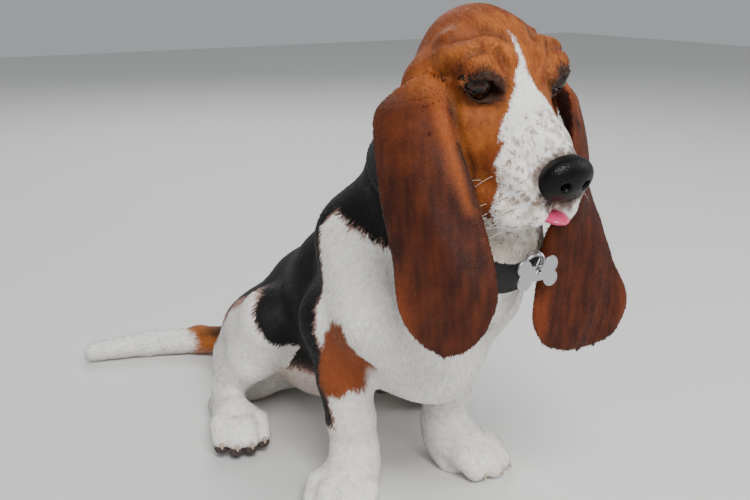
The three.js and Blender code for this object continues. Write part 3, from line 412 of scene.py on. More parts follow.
def ear_place(side, x, y, z):
    """Where points lie in an ear: across it, out of its bent sheet, and its half width there."""
    heights = np.asarray(z, float)
    middle_x, middle_y, front, rear, turn, bulge = np.moveaxis(ear_values(side, heights), -1, 0)
    turn = np.radians(turn)
    across = (x - middle_x) * np.cos(turn) + (y - middle_y) * np.sin(turn)
    out = -(x - middle_x) * np.sin(turn) + (y - middle_y) * np.cos(turn)
    inner_half = 10 * np.sqrt(np.maximum(np.where(across > 0, front, rear), 0))
    half = inner_half + EAR_HALF_THICKNESS
    share = np.clip(across / half, -1, 1)
    wave = np.sin(across / 5.5 + heights / 17 + side)
    ripple = 0.9 * wave * (1 - share ** 2) * smooth_step(300, 250, heights)
    from_crease = (across - 8 - 0.28 * (323 - heights)) / 4
    crease = 0.5 * smooth_step(245, 262, heights) * np.exp(-(from_crease ** 2))
    out = out - bulge * (1 - share ** 2) + side * crease + ripple
    steep = np.sqrt(1 + (2 * bulge * share / half) ** 2 + 0.08)
    return across, out / steep, inner_half, half


def smooth_step(low, high, value):
    """A share that rises smoothly from 0 at low to 1 at high."""
    t = np.clip((value - low) / (high - low), 0, 1)
    return t * t * (3 - 2 * t)


def ear_distance(side, x, y, z):
    """Distance to the surface of one ear."""
    across, out, inner_half, _ = ear_place(side, x, y, z)
    beyond = np.maximum(np.abs(across) - inner_half, 0)
    top, tip = EAR_ROWS[side][0][0], EAR_ROWS[side][-1][0]
    past = np.maximum(np.maximum(z - top, tip - z), 0)
    return np.sqrt(beyond ** 2 + out ** 2 + past ** 2) - EAR_HALF_THICKNESS


def add_ear(clay, side):
    """Adds one ear, which melts into the head at its root."""
    rows = [(row[1], row[2], row[0], 42) for row in EAR_ROWS[side]]
    cut, (x, y, z) = clay.part(*box_around(rows, 0))
    if clay.value[cut].size == 0:
        return
    blend = 1.5 + 6 * smooth_step(268, 306, z)
    clay.value[cut] = smooth_min(clay.value[cut], ear_distance(side, x, y, z).astype(np.float32), blend)


def sculpt_dog(clay):
    """The whole hide, from the trunk outward."""
    sculpt_trunk(clay)
    sculpt_neck(clay)
    add_limb(clay, 10, 6, *TAIL_LINE)
    for side in SIDES:
        sculpt_legs(clay, side)
        sculpt_paws(clay, side)
    sculpt_head(clay)
    for side in SIDES:
        add_ear(clay, side)


def surface_of(clay):
    """The surface of the clay: a corner in each cell that it crosses, a face across each crossed edge."""
    value = clay.value
    inside = value < 0
    nx, ny, nz = value.shape
    count = sum(
        inside[i:nx - 1 + i, j:ny - 1 + j, k:nz - 1 + k].astype(np.int8)
        for i in (0, 1) for j in (0, 1) for k in (0, 1)
    )
    cells = np.nonzero((count > 0) & (count < 8))
    number = np.full(count.shape, -1, np.int64)
    number[cells] = np.arange(len(cells[0]))
    total = np.zeros((len(cells[0]), 3))
    crossings = np.zeros(len(cells[0]))
    for axis in range(3):
        others = [n for n in range(3) if n != axis]
        for shift in ((0, 0), (0, 1), (1, 0), (1, 1)):
            start = [cell.copy() for cell in cells]
            start[others[0]] += shift[0]
            start[others[1]] += shift[1]
            end = [cell.copy() for cell in start]
            end[axis] += 1
            before, after = value[tuple(start)].astype(float), value[tuple(end)].astype(float)
            crossed = (before < 0) != (after < 0)
            share = np.where(crossed, before / np.where(crossed, before - after, 1), 0)
            for n in range(3):
                low, high = clay.axes[n][start[n]], clay.axes[n][end[n]]
                total[:, n] += np.where(crossed, low + share * (high - low), 0)
            crossings += crossed
    faces = []
    for axis in range(3):
        one, other = ((1, 2), (2, 0), (0, 1))[axis]
        near, far = [slice(1, -1)] * 3, [slice(1, -1)] * 3
        near[axis], far[axis] = slice(0, -1), slice(1, None)
        first, second = inside[tuple(near)], inside[tuple(far)]
        edges = np.argwhere(first != second)
        if len(edges) == 0:
            continue
        offset = np.ones(3, int)
        offset[axis] = 0
        at = edges + offset
        corners = []
        for a, b in ((1, 1), (0, 1), (0, 0), (1, 0)):
            cell = at.copy()
            cell[:, one] -= a
            cell[:, other] -= b
            corners.append(number[cell[:, 0], cell[:, 1], cell[:, 2]])
        quads = np.stack(corners, 1)
        outward = first[edges[:, 0], edges[:, 1], edges[:, 2]]
        faces.append(np.where(outward[:, None], quads, quads[:, ::-1]))
    return total / crossings[:, None], np.concatenate(faces)


def piece_of(name, corners, faces, material):
    """A smooth mesh object in the frame, from corners in millimetres and faces of equally many corners."""
    faces = np.asarray(faces, np.int32)
    mesh = bpy.data.meshes.new(name)
    mesh.vertices.add(len(corners))
    mesh.vertices.foreach_set("co", in_metres(corners).astype(np.float32).ravel())
    mesh.loops.add(faces.size)
    mesh.loops.foreach_set("vertex_index", faces.ravel())
    mesh.polygons.add(len(faces))
    mesh.polygons.foreach_set("loop_start", np.arange(0, faces.size, faces.shape[1], dtype=np.int32))
    mesh.update(calc_edges=True)
    mesh.polygons.foreach_set("use_smooth", [True] * len(faces))
    mesh.materials.append(material)
    mesh.update()
    made = bpy.data.objects.new(name, mesh)
    bpy.context.collection.objects.link(made)
    return made


clay = Clay(
    grid_lines((-156, -88, 2.4), (-88, 88, 1.5), (88, 122, 2.4)),
    grid_lines((-200, -60, 1.5), (-60, 374, 2.4)),
    grid_lines((-3, 50, 1.9), (50, 140, 2.4), (140, 378, 1.5)),
)
sculpt_dog(clay)
clay.value += COAT_DEPTH
clay.value = np.maximum(clay.value, FLOOR_CLEARANCE - clay.axes[2][None, None, :])
SOCKET_RADIUS = 10.2
for side in SIDES:
    eye_middle = on_head(EYE_BACK, side * EYE_SPREAD, EYE_DROP)
    add_oval(clay, 0.5, eye_middle, (SOCKET_RADIUS, SOCKET_RADIUS, SOCKET_RADIUS), cut_away=True)
skin_corners, skin_faces = surface_of(clay)


# The puppy's markings: a tan head with a white blaze and muzzle, mahogany ears, a black saddle, a rust
# patch on the right foreleg, a tan and white tail, and white neck, chest, belly and feet. Hide and hair
# take the same colours, worked out from each point's place on the body.
TAN, DEEP_TAN, MAHOGANY, RUST = "#ac6128", "#7c3a17", "#38160b", "#8a4520"
WHITE, CREAM, BLACK, BLACKISH = "#f6f3ee", "#dccdbb", "#0f0d0c", "#1d1512"
FRECKLE, PINK_SKIN = "#7d5c43", "#cfa699"


def ripple_noise(places, size, seed, octaves=3):
    """Smooth, seeded unevenness between -1 and 1 with features of about the given size in millimetres."""
    draw = np.random.default_rng(seed)
    total, weight = 0, 0
    for octave in range(octaves):
        waves = draw.normal(size=(6, 3)) * (2 * math.pi / (size * 2.2)) * 1.9 ** octave
        starts = draw.uniform(0, 2 * math.pi, 6)
        share = 0.6 ** octave
        total = total + share * np.sin(places @ waves.T + starts).sum(1) / 2.4
        weight += share
    return total / weight


def head_place(places):
    """Forward, left and up of points in the head's own frame."""
    away = places - BETWEEN_EYES
    return away @ FORWARD, away @ LEFTWARD, away @ UPWARD


def ear_share(places):
    """How far points belong to an ear, from 0 to 1."""
    found = np.zeros(len(places))
    for side in SIDES:
        rows = EAR_ROWS[side]
        near = (places[:, 2] < rows[0][0] + 4) & (places[:, 2] > rows[-1][0] - 6)
        near &= side * places[:, 0] > 8
        x, y, z = places[near].T
        across, out, _, half = ear_place(side, x, y, z)
        inside = smooth_step(5.5, 3.2, np.abs(out)) * smooth_step(4, 0, np.abs(across) - half)
        found[near] = np.maximum(found[near], inside * smooth_step(324, 308, z))
    return found


def mixed(base, colour, share):
    """Rows of linear colour, moved towards one sRGB hex colour by their share."""
    return base + (np.array(linear(colour)[:3]) - base) * np.clip(share, 0, 1)[:, None]


def plain(colour, count):
    """One sRGB hex colour as linear rows."""
    return np.tile(np.array(linear(colour)[:3]), (count, 1))


def past_jaw(places):
    """How far points lie in front of the plane where the neck ends behind the jaws."""
    return (places[:, 1] + 86) * -0.686 + (places[:, 2] - 276) * 0.727


# Each fold has its colour (painted shade in the grooves, painted highlight on the ridges), its strength,
# its width and its line in the head's own frame.
FOLD_PAINTED_LIGHT = (
    ("#b56a2e", 0.55, 3.5,
     (-27, 41, -8), (-23, 40, 5), (-19, 33, 12), (-19, 21, 15), (-13, 14, 17), (-5, 11, 13)),
    ("#a2521f", 0.8, 4.5, (-28, 43, -15), (0, 54, -16), (21, 56, -24), (38, 54, -34), (51, 51, -43)),
    ("#4a2210", 0.7, 2.6,
     (-44, 40, -5), (-35, 38, 6), (-31, 29, 11), (-29, 20, 15), (-23, 13, 18), (-15, 10, 19)),
    ("#3a1a0c", 0.75, 2.3,
     (-17, 39, -7), (-12, 40, 8), (-13, 31, 14), (-11, 19, 15), (1, 15, 10), (9, 15, 1)),
    ("#34170b", 0.75, 2.8, (-8, 38, -17), (5, 39, -28), (15, 38, -36), (24, 35, -44)),
    ("#240f08", 0.85, 3, (-21, 42, -10), (-3, 41, -24), (25, 51, -24), (40, 50, -34), (52, 49, -43)),
)


def markings(places):
    """Linear colours of the coat at points in millimetres."""
    x, y, z = places.T
    f, l, u = head_place(places)
    ragged = ripple_noise(places, 14, 3)
    fine = ripple_noise(places, 3.5, 5)
    colour = plain(WHITE, len(places))
    colour = mixed(colour, CREAM, 0.06 + 0.08 * ragged)

    # black saddle behind the shoulders and black upper neck, which meet over a white wedge
    wither = ripple_noise(places, 30, 7, 2)
    front = y - np.interp(z, (107, 125, 154, 185, 205, 212, 219, 230), (-12, -16, -16, -8, -1, 0, -5, -10))
    front = front + 0.8 * wither + ragged
    edge = np.interp(y, (-20, 66, 73, 84, 94, 134, 175, 215, 240), (60, 60, 112, 132, 136, 119, 92, 56, 40))
    edge = np.where((np.abs(x) < 47) & (y < 100), np.minimum(edge, 66), edge)
    saddle = np.minimum(front, z - edge - 2 * wither - ragged)
    back = 0.811 * (y + 70) + 0.584 * (z - 245)
    upper_neck = np.minimum(z - 207 - 0.45 * (y + 50) + 1.5 * ragged, back + 8)
    black = np.maximum(saddle, upper_neck) + 1.2 * fine
    trunk = smooth_step(236, 222, y)
    rear = smooth_step(96, 126, y) * smooth_step(250, 225, y)
    colour = mixed(colour, RUST, smooth_step(-2.5 - 9 * rear, -1 - 4 * rear, black) * trunk * 0.8)
    colour = mixed(colour, BLACK, smooth_step(-1.3, 1.6, black) * trunk)

    # rust patch on the outside of the right foreleg
    patch = np.hypot((y + 29 + 0.42 * (z - 120)) / 16, (z - 121) / 38) + 0.12 * ragged
    outside = smooth_step(-38, -48, x) * smooth_step(30, 20, y)
    colour = mixed(colour, RUST, smooth_step(1.05, 0.85, patch) * outside)

    # tail: tan with black along its top at the root, then white
    tail = smooth_step(222, 236, y)
    white_end = smooth_step(-44, -56, x + 2 * ragged)
    top_of_tail = smooth_step(18, 30, z + 4 * ragged) * smooth_step(310, 280, y)
    tail_colour = mixed(plain(TAN, len(places)), BLACKISH, top_of_tail * 0.85)
    colour = colour + (tail_colour - colour) * (tail * (1 - white_end))[:, None]
    colour = mixed(colour, WHITE, tail * white_end)

    # pink skin shows through the thin hair low between the hind legs and on the belly
    low = smooth_step(16, 4, z) * smooth_step(20, 60, y) * smooth_step(60, 40, np.abs(x))
    colour = mixed(colour, PINK_SKIN, low * 0.5)
    belly = smooth_step(78, 58, z) * smooth_step(24, 50, y) * smooth_step(150, 120, y)
    colour = mixed(colour, PINK_SKIN, belly * smooth_step(66, 50, np.abs(x)) * 0.45)

    # painted shade: the throat under the jaw is darkened to a cream grey
    throat = smooth_step(-96, -110, y) * smooth_step(205, 218, z) * smooth_step(45, 30, np.abs(x))
    colour = mixed(colour, "#bfae90", throat * 0.6)

    # tan head with its blaze and white muzzle
    head = smooth_step(-8, 6, past_jaw(places) + 2 * ragged + 8 * smooth_step(20, 60, np.abs(x)))
    base = plain(TAN, len(places))
    base = mixed(base, DEEP_TAN, 0.45 + 0.5 * ragged)
    base = mixed(base, DEEP_TAN, smooth_step(-20, -60, f) * 0.6)
    reach = f + 1.5 * ragged
    width = np.interp(reach, (-34, -22, -9, 0, 9, 14, 18, 25), (-3, -0.4, 1.1, 3, 6.5, 10, 15, 22))
    centre = np.interp(reach, (14, 50), (-6, 0))
    muzzle = np.minimum(-y - 150, 304 - z) + 1.5 * ragged
    white = np.maximum(np.minimum(width - np.abs(l - centre), 6), np.minimum(muzzle, 6)) + 1.1 * fine
    blaze = smooth_step(-0.7, 1, white)
    blaze = np.maximum(blaze, smooth_step(-63, -69, u + 1.5 * ragged))
    base = mixed(base, DEEP_TAN, smooth_step(-9, -2, white) * smooth_step(15, 30, f) * 0.7)
    base = mixed(base, WHITE, blaze)
    blotches = smooth_step(0.1, 0.6, ripple_noise(places, 6, 13, 2)) * blaze * smooth_step(14, 30, f)
    base = mixed(base, "#a8825f", blotches * 0.5)
    freckles = smooth_step(0.5, 0.75, ripple_noise(places, 2.4, 11, 2) + 0.3 * ragged)
    base = mixed(base, FRECKLE, freckles * blaze * smooth_step(16, 30, f) * 0.75)
    nose_away = np.sqrt((f - 68) ** 2 + l ** 2 * 0.75 + (u + 20) ** 2)
    base = mixed(base, "#5b3d2c", smooth_step(22.5, 18, nose_away + 2.5 * ragged + 2 * fine) * 0.85)
    base = mixed(base, BLACK, smooth_step(18, 16.5, nose_away + fine) * 0.9)
    for side in SIDES:
        lid = np.sqrt(((f - 1) * 0.6) ** 2 + ((l - side * 28.5) / 1.12) ** 2 + (u + 1.5) ** 2)
        base = mixed(base, BLACKISH, smooth_step(13.5, 9, lid + fine + 0.8 * ragged) * 0.92)
    colour = colour + (base - colour) * head[:, None]

    # mahogany ears, warmer towards the root, with a painted orange highlight along their edges
    ear = ear_share(places)
    ear_colour = plain(MAHOGANY, len(places))
    streaks = ripple_noise(places * np.array([1, 1, 0.15]), 5, 37, 2)
    # painted highlight: orange along the lower front fold of the right ear and both edges of the left ear
    right_edge_highlight = smooth_step(-142, -122, y) * smooth_step(228, 188, z) * smooth_step(0, -20, x)
    left_edge_highlight = np.maximum(smooth_step(27, 19, x), smooth_step(75, 83, x)) * smooth_step(0, 10, x)
    upper = smooth_step(250, 300, z)
    warmth_and_highlight = 0.12 + 0.08 * ragged + 0.12 * streaks
    warmth_and_highlight = warmth_and_highlight + 0.75 * np.maximum(right_edge_highlight, 0.6 * left_edge_highlight) + 0.25 * upper
    ear_colour = mixed(ear_colour, "#853d18", warmth_and_highlight)
    colour = colour + (ear_colour - colour) * ear[:, None]

    # painted shade: a dark line on the cheek along the front edge of each ear
    for side in SIDES:
        cheek = (side * x > 8) & (z > 235) & (z < 306) & (y < -112) & (ear < 0.5)
        gap_shade = smooth_step(7, 1, ear_distance(side, x[cheek], y[cheek], z[cheek]))
        colour[cheek] = mixed(colour[cheek], "#240f08", 0.85 * gap_shade)

    # painted shade lies along the folds of brow, cheek and ear, and painted highlight along their ridges
    face = (z > 210) & (y < -80)
    across_face = places[face].T
    for side in SIDES:
        for shade, strength, width, *line in FOLD_PAINTED_LIGHT:
            line = [on_head(f, side * l, u) for f, l, u in line]
            near = np.min([along_line(across_face, a, b)[0] for a, b in zip(line, line[1:])], axis=0)
            colour[face] = mixed(colour[face], shade, strength * np.exp(-((near / width) ** 2)))

    # feet and legs keep faint grey ticks
    ticks = smooth_step(0.7, 0.95, ripple_noise(places, 3.2, 23, 2)) * smooth_step(110, 60, z)
    colour = mixed(colour, FRECKLE, ticks * 0.3 * (1 - head))
    return np.clip(colour * (1 + 0.05 * fine[:, None]), 0, 1)


def paint(piece, colours):
    """Keeps linear colours on a piece's corners, in the layer named Coat."""
    layer = piece.data.color_attributes.new("Coat", "FLOAT_COLOR", "POINT")
    opaque = np.hstack([colours, np.ones((len(colours), 1))])
    layer.data.foreach_set("color", opaque.astype(np.float32).ravel())


# Short, flat hound hair over skin: keratin, soft sheen along the hairs, a fine broken grain. Real hairs are
# 0.06 mm thick, too fine to show, so the grain is drawn 1.2 mm wide.
HAIR_GRAIN = 1.2


def hair_material(name, grain_depth):
    """Coloured by the Coat layer; the grain's depth is in metres."""
    material, tree, shader = surface(
        name, Roughness=0.62, IOR=1.55, Sheen_Weight=0.06, Sheen_Roughness=0.45, Specular_IOR_Level=0.2)
    coat = node(tree, "ShaderNodeVertexColor", {"layer_name": "Coat"})
    place = node(tree, "ShaderNodeTexCoord")
    grain = node(
        tree, "ShaderNodeTexNoise", {"Scale": 1000 / HAIR_GRAIN / 3, "Detail": 4, "Roughness": 0.6},
        {"Vector": place.outputs["Object"]})
    clumps = node(
        tree, "ShaderNodeTexNoise", {"Scale": 120, "Detail": 3}, {"Vector": place.outputs["Object"]})
    shade = node(
        tree, "ShaderNodeMapRange", {"From Min": 0.3, "From Max": 0.7, "To Min": 0.9, "To Max": 1.06},
        {"Value": grain.outputs["Fac"]})
    tinted = node(tree, "ShaderNodeVectorMath", {"operation": "SCALE"},
                  {0: coat.outputs["Color"], "Scale": shade.outputs["Result"]})
    tree.links.new(tinted.outputs[0], shader.inputs["Base Color"])
    height = node(tree, "ShaderNodeMath", {"operation": "ADD"},
                  {0: grain.outputs["Fac"], 1: clumps.outputs["Fac"]})
    bumped(tree, shader, height.outputs[0], 0.5, grain_depth)
    return material


hide = hair_material("short_hound_hair_on_skin", 0.0009)
skin = piece_of("skin", skin_corners, skin_faces, hide)
paint(skin, markings(skin_corners))
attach(skin, "root")
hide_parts("head", "ear_left", "ear_right", "neck", "torso", "foreleg_left", "foreleg_right",
            "forepaw_left", "forepaw_right", "thigh_left", "thigh_right", "hind_leg_left", "hind_leg_right",
            "hind_paw_left", "hind_paw_right", "tail_root", "tail_end")


# The coat is short mesh locks of hair, rooted in the hide and lying flat along it: back over the skull,
# down the ears and legs, along the back to the tail. They break the outline on every side.
LOCK_PATCH = 0.0015
TAIL_START_Y = 232


def tail_run(places):
    """The direction of the tail's line nearest to each place."""
    best = np.full(len(places), np.inf)
    run = np.zeros((len(places), 3))
    for start, end in zip(TAIL_LINE, TAIL_LINE[1:]):
        way = np.array(end[:3], float) - start[:3]
        away = np.linalg.norm(places - (np.array(start[:3]) + way / 2), axis=1)
        run[away < best] = way / np.linalg.norm(way)
        best = np.minimum(best, away)
    return run


def lie_of_coat(places, normals):
    """Unit directions along the surface in which the hair lies."""
    x, y, z = places.T
    u = head_place(places)[2]
    flow = np.tile([0, 0.8, -0.6], (len(places), 1)).astype(float)

    def turn_to(way, share):
        nonlocal flow
        flow = flow + (np.asarray(way) - flow) * share[:, None]

    turn_to([0, 0.35, -1], smooth_step(20, 50, np.abs(x)) * 0.6)
    turn_to([0, 0.1, -1], smooth_step(-20, -60, y))
    turn_to([0, 0.05, -1], smooth_step(110, 90, z) * smooth_step(70, 30, y))
    turn_to([0, 0.3, -1], smooth_step(90, 70, z) * smooth_step(58, 70, np.abs(x)))
    turn_to([0, -0.9, -0.4], smooth_step(42, 26, z) * smooth_step(230, 215, y))
    turn_to(tail_run(places), smooth_step(TAIL_START_Y - 8, TAIL_START_Y + 4, y))
    head = smooth_step(-8, 6, past_jaw(places))
    turn_to(-FORWARD + 0.2 * UPWARD, head)
    turn_to(-FORWARD - 0.9 * UPWARD, head * smooth_step(-20, -40, u))
    turn_to([0, 0.12, -1], ear_share(places))
    flow -= (flow * normals).sum(1)[:, None] * normals
    return flow / np.maximum(np.linalg.norm(flow, axis=1), 1e-6)[:, None]


def unwrap(places):
    """Places on a plan of the hide, in nine tiles: each part is unrolled about its own middle line."""
    x, y, z = places.T
    f, l, u = head_place(places)
    ear = ear_share(places) > 0.5
    head = past_jaw(places) > 0
    tail = y > TAIL_START_Y
    fore = (z < 110) & (y < 45)
    hind = (z < 100) & (np.abs(x) > 52) & (y < 200) & ~fore
    left = x > 0
    around = np.arctan2(x, z - (150 - 0.45 * np.maximum(y, 0))) / (2 * math.pi) + 0.5
    along = (y + 130) / 400
    tile = np.full(len(places), 1)
    for number, chosen, turn, run in (
        (2, fore & left, np.arctan2(x - 46, y + 8), z / 120),
        (3, fore & ~left, np.arctan2(x + 46, y + 8), z / 120),
        (4, hind & left, np.arctan2(x - 74, z - 40), y / 210),
        (5, hind & ~left, np.arctan2(x + 74, z - 40), y / 210),
        (6, tail, np.arctan2(y - 300, z - 15), (x + 160) / 200),
        (0, head, np.arctan2(l, u + 25), (f + 110) / 200),
        (7, ear & left, np.arctan2(y + 130, x - 50), (z - 130) / 210),
        (8, ear & ~left, np.arctan2(y + 130, x + 60), (z - 130) / 210),
    ):
        tile[chosen] = number
        around = np.where(chosen, turn / (2 * math.pi) + 0.5, around)
        along = np.where(chosen, run, along)
    column, row = tile % 3, tile // 3
    return np.stack([
        (column + 0.03 + 0.94 * np.clip(around, 0, 1)) / 3,
        (row + 0.03 + 0.94 * np.clip(along, 0, 1)) / 3,
    ], 1)


def scattered(corners, faces, density_of, draw):
    """Random places on a surface and the normals there; density_of gives places per square millimetre."""
    a, b, c, d = (corners[faces[:, n]] for n in range(4))
    cross = np.cross(c - a, d - b)
    area = np.linalg.norm(cross, axis=1) / 2
    normal = cross / np.maximum(2 * area, 1e-9)[:, None]
    number = draw.poisson(area * density_of((a + c) / 2))
    chosen = np.repeat(np.arange(len(faces)), number)
    s, t = draw.random((2, len(chosen), 1))
    places = (1 - s) * ((1 - t) * a[chosen] + t * b[chosen]) + s * ((1 - t) * d[chosen] + t * c[chosen])
    return places, normal[chosen]


def lock_length(places):
    """Length of the hair in millimetres: least on the face and feet, most on chest, haunches and tail."""
    y, z = places.T[1:]
    f = head_place(places)[0]
    length = 5 + 1.2 * smooth_step(-40, -80, y) + 1.5 * smooth_step(222, 240, y)
    length = length - 2.4 * smooth_step(60, 25, z) * smooth_step(222, 205, y)
    head = smooth_step(-8, 6, past_jaw(places))
    length = length + (3 - length) * head
    length = length + (1.9 - length) * head * smooth_step(-10, 25, f)
    return length + (2.3 - length) * ear_share(places)


COLLAR_AXIS = np.array([0, -0.584, 0.811]) / math.hypot(0.584, 0.811)
COLLAR_MIDDLE = np.array([0, -70.0, 245.0])
COLLAR_WIDTH = 25
COLLAR_REACH = 70


def collar_place(places):
    """How far along the neck from the collar's middle points lie, and how far out from the collar."""
    away = places - COLLAR_MIDDLE
    along = away @ COLLAR_AXIS
    return along, np.linalg.norm(away - along[:, None] * COLLAR_AXIS, axis=1) - COLLAR_REACH


def near_bare_skin(places):
    """Places on lids, nose, lips and the soles, where no hair grows."""
    f, l, u = head_place(places)
    bare = places[:, 2] < 2.5
    nose = np.sqrt((f - 66) ** 2 + (l * 0.85) ** 2 + ((u + 20) * 1.15) ** 2) < 17
    eyes = np.sqrt((f - 2) ** 2 + ((np.abs(l) - 29) / 1.2) ** 2 + ((u + 4) * 1.2) ** 2) < 10
    mouth = (np.abs(l) < 11) & (np.abs(u + 46) < 5) & (f > 60)
    along, out = collar_place(places)
    under_collar = (np.abs(along) < COLLAR_WIDTH / 2 + 0.5) & (out < 0) & (ear_share(places) < 0.1)
    return bare | nose | eyes | mouth | under_collar


def coat_locks(places, normals, draw):
    """Corners, faces, colours and plan places of tapering locks of three faces each."""
    count = len(places)
    lie = lie_of_coat(places, normals)
    aside = np.cross(normals, lie)
    swing = draw.normal(0, 0.22, count)[:, None]
    lie = lie * np.cos(swing) + aside * np.sin(swing)
    aside = np.cross(normals, lie)
    length = lock_length(places) * draw.uniform(0.7, 1.25, count)
    half = (0.2 + 0.045 * length) * draw.uniform(0.7, 1.3, count)
    rise = draw.uniform(0.02, 0.16, count)
    root = places - 0.35 * normals
    middle = places + lie * (0.5 * length)[:, None] + normals * (0.5 * length * rise + 0.1)[:, None]
    tip = places + lie * length[:, None] + normals * (length * rise * 0.75)[:, None]
    wide = aside * half[:, None]
    corners = np.stack([root - wide, root + wide, middle + 0.85 * wide, middle - 0.85 * wide, tip], 1)
    shade = draw.normal(1, 0.07, count)[:, None]
    colour = markings(places) * np.clip(shade, 0.8, 1.2)
    colours = np.stack([colour * 0.9, colour * 0.9, colour, colour, np.clip(colour * 1.06, 0, 1)], 1)
    faces = np.arange(count)[:, None, None] * 5 + np.array([[0, 1, 2], [0, 2, 3], [3, 2, 4]])
    offsets = LOCK_PATCH * np.array([[-1, -1], [1, -1], [1, 0], [-1, 0], [0, 1]])
    plan = unwrap(places)[:, None, :] + offsets
    corners[:, :, 2] = np.maximum(corners[:, :, 2], 0.25)
    colours = np.clip(colours, 0, 1)
    return corners.reshape(-1, 3), faces.reshape(-1, 3), colours.reshape(-1, 3), plan.reshape(-1, 2)


def density(places):
    """Locks per square millimetre: most on the face, where they are smallest."""
    f = head_place(places)[0]
    head = smooth_step(-8, 6, past_jaw(places))
    feet = smooth_step(50, 25, places[:, 2]) * smooth_step(225, 205, places[:, 1])
    return 0.62 + 0.6 * head + 0.9 * head * smooth_step(0, 30, f) + 0.45 * feet + 0.6 * ear_share(places)


draw = np.random.default_rng(41)
lock_roots, lock_normals = scattered(skin_corners, skin_faces, density, draw)
haired = ~near_bare_skin(lock_roots)
lock_roots, lock_normals = lock_roots[haired], lock_normals[haired]
lock_hair = hair_material("locks_of_short_hound_hair", 0.0003)
parts = {
    "coat_ear_right": (ear_share(lock_roots) > 0.5) & (lock_roots[:, 0] < 0),
    "coat_ear_left": ear_share(lock_roots) > 0.5,
    "coat_head": past_jaw(lock_roots) > 0,
    "coat_neck": lock_roots[:, 2] > 176,
    "coat_forelegs": (lock_roots[:, 2] < 62) & (lock_roots[:, 1] < 45),
    "coat_hind_legs": lock_roots[:, 2] < 62,
    "coat_chest": lock_roots[:, 1] < 30,
    "coat_haunches": lock_roots[:, 1] < 400,
}
left_over = np.ones(len(lock_roots), bool)
for name, chosen in parts.items():
    chosen = chosen & left_over
    left_over &= ~chosen
    corners, faces, colours, plan = coat_locks(lock_roots[chosen], lock_normals[chosen], draw)
    locks = piece_of(name, corners, faces, lock_hair)
    paint(locks, colours)
    layer = locks.data.uv_layers.new(name="OFBake")
    layer.data.foreach_set("uv", plan[faces.ravel()].astype(np.float32).ravel())
    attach(locks, "root")


# The eyeballs are wet and dark, with a brown iris round a wide pupil and a clear bulging cornea. They sit
# loose between the lids, and the dull red haw shows at the outer half of the drooping lower lid.
EYEBALL_RADIUS, CORNEA_RISE = 9.9, 0.7
eye_wet, eye_tree, eye_shader = surface("wet_cornea", Roughness=0.05, IOR=1.38)
eye_paint = node(eye_tree, "ShaderNodeVertexColor", {"layer_name": "Coat"})
eye_tree.links.new(eye_paint.outputs["Color"], eye_shader.inputs["Base Color"])
wet_flesh, _, _ = surface(
    "wet_pink_membrane", Base_Color=linear("#6b3a3c"), Roughness=0.3, IOR=1.4, Subsurface_Weight=0.1)


def ball_grid(rings, turns):
    """Unit directions over a sphere from pole to pole, and its faces of four corners."""
    ring, turn = np.meshgrid(
        np.linspace(0, math.pi, rings), np.arange(turns) * 2 * math.pi / turns, indexing="ij")
    ways = np.stack([np.sin(ring) * np.cos(turn), np.sin(ring) * np.sin(turn), np.cos(ring)], -1)
    ways = ways.reshape(-1, 3)
    a, b = np.meshgrid(np.arange(rings - 1), np.arange(turns), indexing="ij")
    faces = np.stack([a * turns + b, (a + 1) * turns + b, (a + 1) * turns + (b + 1) % turns,
                      a * turns + (b + 1) % turns], -1).reshape(-1, 4)
    return ways, faces


def rod(stations, turns=8):
    """A closed round rod through stations of x, y, z and radius."""
    stations = np.array(stations, float)
    middle, radius = stations[:, :3], stations[:, 3]
    run = np.gradient(middle, axis=0)
    run /= np.linalg.norm(run, axis=1)[:, None]
    side = np.cross(run, [0.13, 0.31, 0.94])
    side /= np.linalg.norm(side, axis=1)[:, None]
    other = np.cross(run, side)
    turn = np.arange(turns) * 2 * math.pi / turns
    ring = np.cos(turn)[None, :, None] * side[:, None] + np.sin(turn)[None, :, None] * other[:, None]
    corners = (middle[:, None] + radius[:, None, None] * ring).reshape(-1, 3)
    count = len(stations)
    a, b = np.meshgrid(np.arange(count - 1), np.arange(turns), indexing="ij")
    here, beside = (a * turns + b).ravel(), (a * turns + (b + 1) % turns).ravel()
    start, end = count * turns, count * turns + 1
    around, last = np.arange(turns), (count - 1) * turns
    faces = np.concatenate([
        np.stack([here, beside, beside + turns], 1), np.stack([here, beside + turns, here + turns], 1),
        np.stack([np.full(turns, start), (around + 1) % turns, around], 1),
        np.stack([np.full(turns, end), last + around, last + (around + 1) % turns], 1),
    ])
    return np.vstack([corners, middle[0], middle[-1]]), faces


def joined(pieces):
    """The corners and faces of several meshes as those of one."""
    starts = np.cumsum([0] + [len(corners) for corners, _ in pieces])
    faces = [faces + start for (_, faces), start in zip(pieces, starts)]
    return np.vstack([corners for corners, _ in pieces]), np.vstack(faces)


def smooth_line(stations, steps=10):
    """More stations along a curve through the given ones."""
    points = np.array(stations, float)
    padded = np.vstack([2 * points[0] - points[1], points, 2 * points[-1] - points[-2]])
    t = np.linspace(0, 1, steps, endpoint=False)[:, None]
    spans = [
        0.5 * (2 * b + (c - a) * t + (2 * a - 5 * b + 4 * c - d) * t ** 2
               + (3 * b - a - 3 * c + d) * t ** 3)
        for a, b, c, d in zip(padded, padded[1:], padded[2:], padded[3:])
    ]
    return np.vstack([*spans, points[-1:]])


